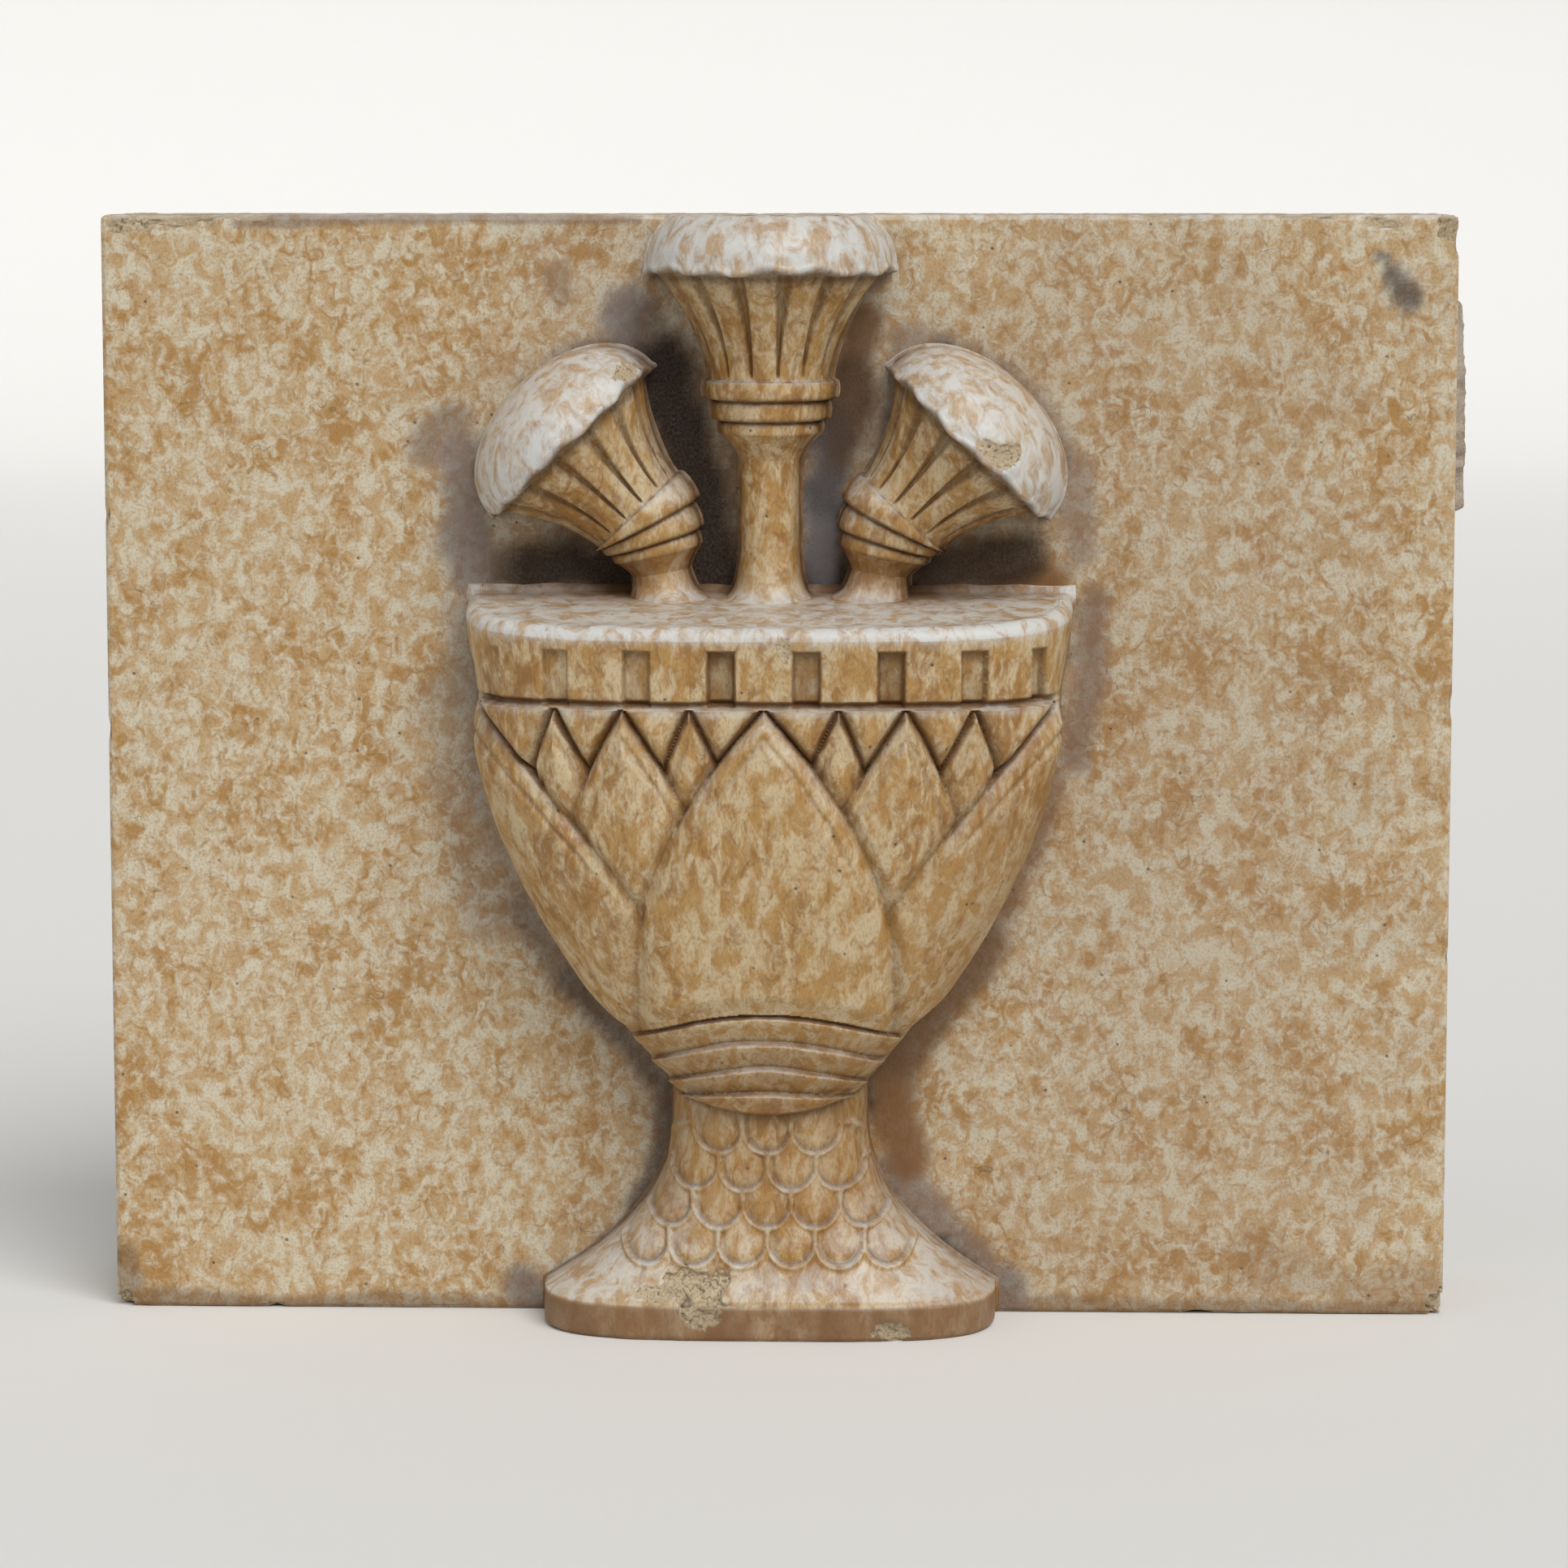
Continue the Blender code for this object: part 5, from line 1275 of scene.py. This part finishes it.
# Stains and painted shadows on the face: path in the photograph, radius in its pixels, and how much of dirt, soot and
# umber
# The dark patches beside the middle stem and under the bells, the grey patch right of the stem and the grey halos
# beside the urn are painted shadow over dirt
STAINS_AND_SHADOWS = (
    (((816, 450), (842, 530), (868, 620), (884, 716)), 54.0, 1.00, 0.0, 0.5),
    (((800, 400), (812, 450)), 40.0, 0.35, 0.5, 0.3),
    (((660, 706), (720, 694), (774, 712)), 50.0, 0.96, 0.0, 0.5),
    (((640, 700), (690, 720)), 36.0, 0.45, 0.3, 0.5),
    (((1150, 708), (1210, 698), (1262, 684)), 38.0, 0.86, 0.0, 0.6),
    (((1100, 735), (1220, 742), (1294, 712)), 38.0, 0.10, 0.0, 0.98),
    (((1052, 460), (1032, 560)), 32.0, 0.70, 0.2, 0.7),
    (((1064, 400), (1050, 460)), 26.0, 0.35, 0.2, 0.85),
    (((1024, 540), (1016, 620)), 40.0, 0.62, 0.95, 0.0),
    (((1016, 620), (1012, 670), (1014, 720)), 42.0, 0.30, 0.98, 0.0),
    (((770, 380), (780, 430)), 40.0, 0.15, 0.75, 0.1),
    (((570, 560), (575, 650), (590, 720)), 34.0, 0.12, 0.70, 0.2),
    (((575, 760), (584, 900), (616, 1010), (654, 1120)), 38.0, 0.04, 0.40, 0.12),
    (((555, 860), (575, 1000), (600, 1130)), 46.0, 0.00, 0.24, 0.10),
    (((640, 1120), (700, 1200), (760, 1275), (808, 1330)), 26.0, 0.30, 0.42, 0.28),
    (((700, 1210), (770, 1290), (818, 1345), (824, 1400), (812, 1450), (780, 1495)), 20.0, 0.60, 0.4, 0.2),
    (((1345, 740), (1340, 850), (1322, 930)), 30.0, 0.10, 0.55, 0.45),
    (((1290, 960), (1262, 1040), (1220, 1140)), 30.0, 0.12, 0.35, 0.6),
    (((1215, 1160), (1170, 1230), (1110, 1300)), 34.0, 0.35, 0.20, 0.75),
    (((1100, 1310), (1096, 1370), (1120, 1440)), 30.0, 0.12, 0.00, 0.9),
    (((1110, 1450), (1170, 1530), (1245, 1600)), 26.0, 0.15, 0.60, 0.2),
    (((640, 1600), (650, 1626)), 30.0, 0.30, 0.60, 0.2),
    (((1245, 1590), (1250, 1620)), 30.0, 0.30, 0.60, 0.2),
    (((690, 450), (760, 430)), 30.0, 0.00, 0.50, 0.0),
    (((1110, 425), (1190, 440), (1270, 500), (1320, 580), (1330, 680)), 26.0, 0.05, 0.45, 0.35),
    (((690, 345), (696, 365)), 26.0, 0.05, 0.35, 0.2),
    (((530, 550), (560, 530)), 34.0, 0.15, 0.45, 0.3),
    (((1705, 340), (1725, 370)), 16.0, 0.70, 0.4, 0.0),
    (((1690, 318), (1700, 326)), 9.0, 0.50, 0.4, 0.0),
    (((1560, 1560), (1680, 1600), (1780, 1604)), 46.0, 0.05, 0.10, 0.28),
    (((1420, 520), (1480, 1000), (1460, 1540)), 330.0, 0.00, 0.11, 0.10),
    (((700, 300), (760, 420), (600, 560)), 120.0, 0.00, 0.12, 0.04),
    (((140, 1560), (150, 1620), (330, 1624), (640, 1626)), 18.0, 0.25, 0.1, 0.45),
    (((1260, 1622), (1500, 1622), (1780, 1622)), 18.0, 0.25, 0.1, 0.45),
    (((300, 276), (600, 272), (790, 276)), 10.0, 0.15, 0.3, 0.3),
)


def tree_of(piece):
    bm = bmesh.new()
    bm.from_mesh(piece.data)
    tree = BVHTree.FromBMesh(bm)
    bm.free()
    return tree


def shut_share(piece, trees, wanted, seed):
    """How much of the view from each point of a mesh is shut off nearby, worked out at spaced samples."""
    count = len(piece.data.vertices)
    places = np.zeros(count * 3)
    piece.data.vertices.foreach_get("co", places)
    places = places.reshape(-1, 3)
    normals = np.zeros(count * 3)
    piece.data.vertices.foreach_get("normal", normals)
    normals = normals.reshape(-1, 3)
    spots = np.flatnonzero(wanted(places, normals))
    values = np.zeros(count)
    if not len(spots):
        return values, places
    rng = np.random.default_rng(seed)
    spots = rng.permutation(spots)
    cells = np.floor(places[spots] / SHADE_SPACING).astype(int)
    sides = np.sign(np.round(normals[spots] * 0.9)).astype(int)
    _, first = np.unique(np.hstack((cells, sides)), axis=0, return_index=True)
    samples = spots[first]
    search = KDTree(len(samples))
    shut = np.zeros(len(samples))
    for order, index in enumerate(samples):
        ways = rng.normal(size=(SHADE_RAYS, 3))
        ways = ways / np.linalg.norm(ways, axis=1)[:, None] + normals[index] * 1.02
        origin = Vector(places[index] + normals[index] * 0.0015)
        hits = 0.0
        for way in ways:
            near = SHADE_REACH
            for tree in trees:
                distance = tree.ray_cast(origin, Vector(way), near)[3]
                near = near if distance is None else min(near, distance)
            hits += 1.0 - near / SHADE_REACH
        shut[order] = hits / SHADE_RAYS
        search.insert(Vector(places[index] + normals[index] * 0.006), order)
    search.balance()
    for index in spots:
        found = search.find_n(Vector(places[index] + normals[index] * 0.006), SHADE_MIX)
        weights = np.array([1.0 / (distance + 0.0015) for _, _, distance in found])
        values[index] = np.dot(weights, shut[[order for _, order, _ in found]]) / weights.sum()
    return values, places


def stained_and_shaded(places):
    """Dirt, soot and umber that the stains and painted shadows leave at places near the glazed face."""
    shrink = -EYE.y / (-EYE.y + places[:, 1])
    seen_x = PHOTO_MIDDLE_X + (EYE.x + (places[:, 0] - EYE.x) * shrink) / PHOTO_SCALE
    seen_y = PHOTO_BED_Y - (EYE.z + (places[:, 2] - EYE.z) * shrink) / PHOTO_SCALE
    ragged = 0.30 * wander(places, 0.022, 96) + 0.18 * wander(places, 0.007, 97)
    marks = np.zeros((3, len(places)))
    for path, radius, *strengths in STAINS_AND_SHADOWS:
        away = np.full(len(places), np.inf)
        for (x0, y0), (x1, y1) in zip(path, path[1:]):
            run_x, run_y = x1 - x0, y1 - y0
            share = np.clip(((seen_x - x0) * run_x + (seen_y - y0) * run_y) / (run_x**2 + run_y**2), 0.0, 1.0)
            away = np.minimum(away, np.hypot(seen_x - x0 - share * run_x, seen_y - y0 - share * run_y))
        inside = ease((1.25 - away / radius + ragged * 0.9) / 0.85)
        for mark, strength in zip(marks, strengths):
            np.maximum(mark, strength * inside, out=mark)
    return marks


def set_mark(piece, mark, values):
    attributes = piece.data.attributes
    stored = attributes.get(mark) or attributes.new(mark, "FLOAT", "POINT")
    stored.data.foreach_set("value", values.astype(np.float32))


def get_mark(piece, mark):
    values = np.zeros(len(piece.data.vertices))
    stored = piece.data.attributes.get(mark)
    if stored:
        stored.data.foreach_get("value", values)
    return values


relief_trees = [tree_of(piece) for piece in (urn, *flowers)]
block_tree = tree_of(block)


def on_the_face(places, normals):
    near = (places[:, 1] < 0.004) & (normals[:, 1] < -0.3)
    return near & (np.abs(places[:, 0] - URN_X) < RIM_HALF_WIDTH + 0.08)


def before_the_wall(places, normals):
    return places[:, 1] < 0.0


shut, places = shut_share(block, relief_trees, on_the_face, 5)
dirt_and_shade, soot_and_shade, stain_and_shade = stained_and_shaded(places)
front = ease((0.004 - places[:, 1]) / 0.003)
patches = np.clip(0.75 + 0.6 * wander(places, 0.05, 91) + 0.3 * wander(places, 0.015, 92), 0.2, 1.4)
# Soot and dirt deepen with how shut in each spot is by the relief: painted shade as well as soot and dirt
soot_and_shade = np.clip(np.maximum(soot_and_shade, 0.72 * shut * patches), 0.0, 0.95) * front
dirt_and_shade = np.clip(np.maximum(dirt_and_shade, ((shut - 0.40) / 0.30).clip(0.0, 1.0)), 0.0, 1.0) * front
raw_block = np.ones(len(places))
raw_block[: len(raw_mark)] = raw_mark
back_dirt = 0.13 * np.clip(0.3 + wander(places, 0.04, 95) + 0.4 * wander(places, 0.012, 98), 0.0, 1.0)
dirt_and_shade[: len(crack_mark)] = np.maximum(dirt_and_shade[: len(crack_mark)], 0.8 * crack_mark)
set_mark(block, "dirt_and_shade", np.where(raw_block > 0.5, np.maximum(dirt_and_shade, back_dirt), dirt_and_shade))
set_mark(block, "soot_and_shade", soot_and_shade)
set_mark(block, "stain_and_shade", stain_and_shade * front)
set_mark(block, "raw", raw_block)

for seed, piece in enumerate((urn, *flowers)):
    shut, places = shut_share(piece, [*relief_trees, block_tree], before_the_wall, 6 + seed)
    # Dirt, soot and stain on the relief deepen with how shut in each spot is and how near the wall it lies: painted
    # shade as well as dirt
    under = np.clip((0.03 + places[:, 1]) / 0.03, 0.0, 1.0)
    set_mark(piece, "dirt_and_shade", np.maximum(get_mark(piece, "groove"), ((shut - 0.42) / 0.30).clip(0.0, 1.0) * (0.5 + 0.5 * under)))
    set_mark(piece, "soot_and_shade", np.clip((shut - 0.15) * 0.9, 0.0, 0.55) * under)
    band = ease((FOOT_BAND - places[:, 2]) / 0.0015) * (places[:, 1] < -0.02)
    streaks = 0.75 + 0.35 * wander(places * (1.0, 1.0, 0.2), 0.006, 99)
    # The stain is also darker below the bowl, painted shade on the bowl's right side, and stain on the foot's band
    below_the_bowl = ease((BOWL_BOTTOM + 0.042 - places[:, 2]) / 0.03) * ease((places[:, 2] - 0.022) / 0.05)
    right_side_shade = ease((places[:, 0] - 0.03) / 0.07) * ease((GROOVE_HEIGHT - places[:, 2]) / 0.06)
    kept = np.maximum(0.85 * band, np.maximum(0.50 * below_the_bowl, 0.30 * right_side_shade)) * streaks
    set_mark(piece, "dirt_and_shade", np.maximum(get_mark(piece, "dirt_and_shade"), 0.20 * band * streaks))
    set_mark(piece, "soot_and_shade", np.maximum(get_mark(piece, "soot_and_shade"), 0.45 * band * streaks))
    set_mark(piece, "stain_and_shade", np.clip(np.maximum((shut - 0.10) * 1.8, kept), 0.0, 0.85))
for piece in (block, urn, *flowers):
    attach(piece, "root")
    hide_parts("glazed_block")

# The mortar
# Sandy lime mortar from the joint with the next block, broken off in a thin ragged crust.
MORTAR_LOW, MORTAR_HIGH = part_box("mortar_remnant")
MORTAR_LIGHT = "#b3a595"
MORTAR_DARK = "#85735f"
SAND_SIZE = 0.0009


def lime_mortar():
    """Lime mortar: matt, pinkish grey, with sand grains that stand proud."""
    made = bpy.data.materials.new("sandy_lime_mortar")
    made.use_nodes = True
    tree = made.node_tree
    shader = tree.nodes["Principled BSDF"]
    place = add_node(tree, "ShaderNodeTexCoord").outputs["Object"]
    sand = add_node(
        tree, "ShaderNodeTexNoise", {"Vector": place, "Scale": 1.0 / SAND_SIZE, "Detail": 4.0, "Roughness": 0.7}
    ).outputs["Fac"]
    lumps = add_node(
        tree, "ShaderNodeTexNoise", {"Vector": place, "Scale": 1.0 / 0.012, "Detail": 3.0}
    ).outputs["Fac"]
    both = add_node(tree, "ShaderNodeMath", {0: lumps, 1: 0.8, 2: sand}, operation="MULTIPLY_ADD").outputs[0]
    colour = add_node(
        tree, "ShaderNodeValToRGB", {"Fac": both}, stops=[(0.7, MORTAR_DARK), (1.0, MORTAR_LIGHT)]
    ).outputs["Color"]
    tree.links.new(colour, shader.inputs["Base Color"])
    shader.inputs["Roughness"].default_value = 0.93
    bump = add_node(tree, "ShaderNodeBump", {"Height": both, "Strength": 0.8, "Distance": 0.0006})
    tree.links.new(bump.outputs["Normal"], shader.inputs["Normal"])
    return made


mortar_up = np.linspace(MORTAR_LOW.z, MORTAR_HIGH.z, 150)
mortar_back = np.linspace(MORTAR_LOW.y, MORTAR_HIGH.y, 100)
back_grid, up_grid = np.meshgrid(mortar_back, mortar_up)
flat = np.stack((np.zeros_like(back_grid), back_grid, up_grid), -1).reshape(-1, 3)
edge_noise = 0.004 * wander(flat, 0.012, 101) + 0.0015 * wander(flat, 0.004, 102)
from_edge = np.minimum(
    np.minimum(flat[:, 1] - MORTAR_LOW.y, MORTAR_HIGH.y - flat[:, 1]),
    np.minimum(flat[:, 2] - MORTAR_LOW.z, MORTAR_HIGH.z - flat[:, 2]),
)
swell = (MORTAR_HIGH.x - BLOCK_RIGHT) * ease((from_edge - 0.0025 + edge_noise) / 0.004)
taper = 0.55 + 0.45 * ease((MORTAR_HIGH.z - flat[:, 2]) / 0.05)
crust = swell * taper * (0.88 + 0.10 * wander(flat, 0.006, 103)) + 0.0004 * wander(flat, 0.0018, 104) * (swell > 0.0005)
outer = flat.copy()
outer[:, 0] = BLOCK_RIGHT + np.maximum(crust, -0.0006)
inner = flat.copy()
inner[:, 0] = BLOCK_RIGHT - 0.0012
mortar_faces = grid_faces(150, 100)
rows, columns = 150, 100
index = np.arange(rows * columns).reshape(rows, columns)
loop = np.concatenate((index[0, :-1], index[:-1, -1], index[-1, :0:-1], index[:0:-1, 0]))
count = rows * columns
sides = [[int(a), int(b), int(b) + count, int(a) + count] for a, b in zip(loop, np.roll(loop, -1))]
mortar = add_piece(
    "joint_mortar",
    np.concatenate((outer, inner)),
    mortar_faces.tolist() + (mortar_faces[:, ::-1] + count).tolist() + sides,
    lime_mortar(),
    {},
    sharp=50.0,
)
outward(mortar)
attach(mortar, "root")
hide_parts("mortar_remnant")

# The floor, the lights and the camera
# A pale round cove, a soft light from high on the right, a weak one from the left, and a camera
# level with the block's top, a little to the right of its middle.
FLOOR_RADIUS = 6.5
COVE_RADIUS = 1.5
WALL_TOP = 3.2
FLOOR_COLOUR = "#e4e3e0"


def pale_floor():
    """Matt white studio floor, with no more gloss than paper."""
    made = bpy.data.materials.new("matt_white_floor")
    made.use_nodes = True
    shader = made.node_tree.nodes["Principled BSDF"]
    shader.inputs["Base Color"].default_value = linear(FLOOR_COLOUR)
    shader.inputs["Roughness"].default_value = 0.95
    shader.inputs["Specular IOR Level"].default_value = 0.1
    return made


cove_turns = np.linspace(0.0, math.pi / 2.0, 16)
cove_profile = [(0.02, 0.0), (FLOOR_RADIUS / 2.0, 0.0)]
cove_profile += [(FLOOR_RADIUS + COVE_RADIUS * math.sin(t), COVE_RADIUS * (1.0 - math.cos(t))) for t in cove_turns]
cove_profile.append((FLOOR_RADIUS + COVE_RADIUS, WALL_TOP))
around = np.linspace(0.0, 2.0 * math.pi, 97)
floor_points = np.array([[(r * math.cos(a), r * math.sin(a), z) for a in around] for r, z in cove_profile])
floor_mesh_points, floor_faces = welded([floor_points])
floor = add_piece("studio_floor", floor_mesh_points, floor_faces, pale_floor(), {}, sharp=60.0)


def add_sun(name, toward, power, softness, colour):
    light = bpy.data.lights.new(name, "SUN")
    light.energy = power
    light.angle = math.radians(softness)
    light.color = linear(colour)[:3]
    made = bpy.data.objects.new(name, light)
    made.rotation_euler = Vector(toward).to_track_quat("Z", "Y").to_euler()
    bpy.context.scene.collection.objects.link(made)


add_sun("key_softbox", (0.32, -0.62, 0.72), 2.25, 44.0, "#ffffff")
add_sun("fill_softbox", (-0.70, -0.60, 0.38), 0.35, 60.0, "#f6f8ff")
world = bpy.data.worlds.new("soft_studio")
world.use_nodes = True
world.node_tree.nodes["Background"].inputs["Color"].default_value = linear("#ffffff")
world.node_tree.nodes["Background"].inputs["Strength"].default_value = 0.34
bpy.context.scene.world = world
bpy.context.scene.view_settings.view_transform = "Standard"

# The lens takes in the photograph's whole width at the wall
AIM = Vector((0.0031, 0.0, 0.244))
SENSOR = 36.0
camera_data = bpy.data.cameras.new("photographer")
camera_data.sensor_width = SENSOR
camera_data.lens = SENSOR * (AIM - EYE).length / (PHOTO_SIZE * PHOTO_SCALE)
camera = bpy.data.objects.new("photographer", camera_data)
camera.location = EYE
camera.rotation_euler = (AIM - EYE).to_track_quat("-Z", "Y").to_euler()
bpy.context.scene.collection.objects.link(camera)
bpy.context.scene.camera = camera
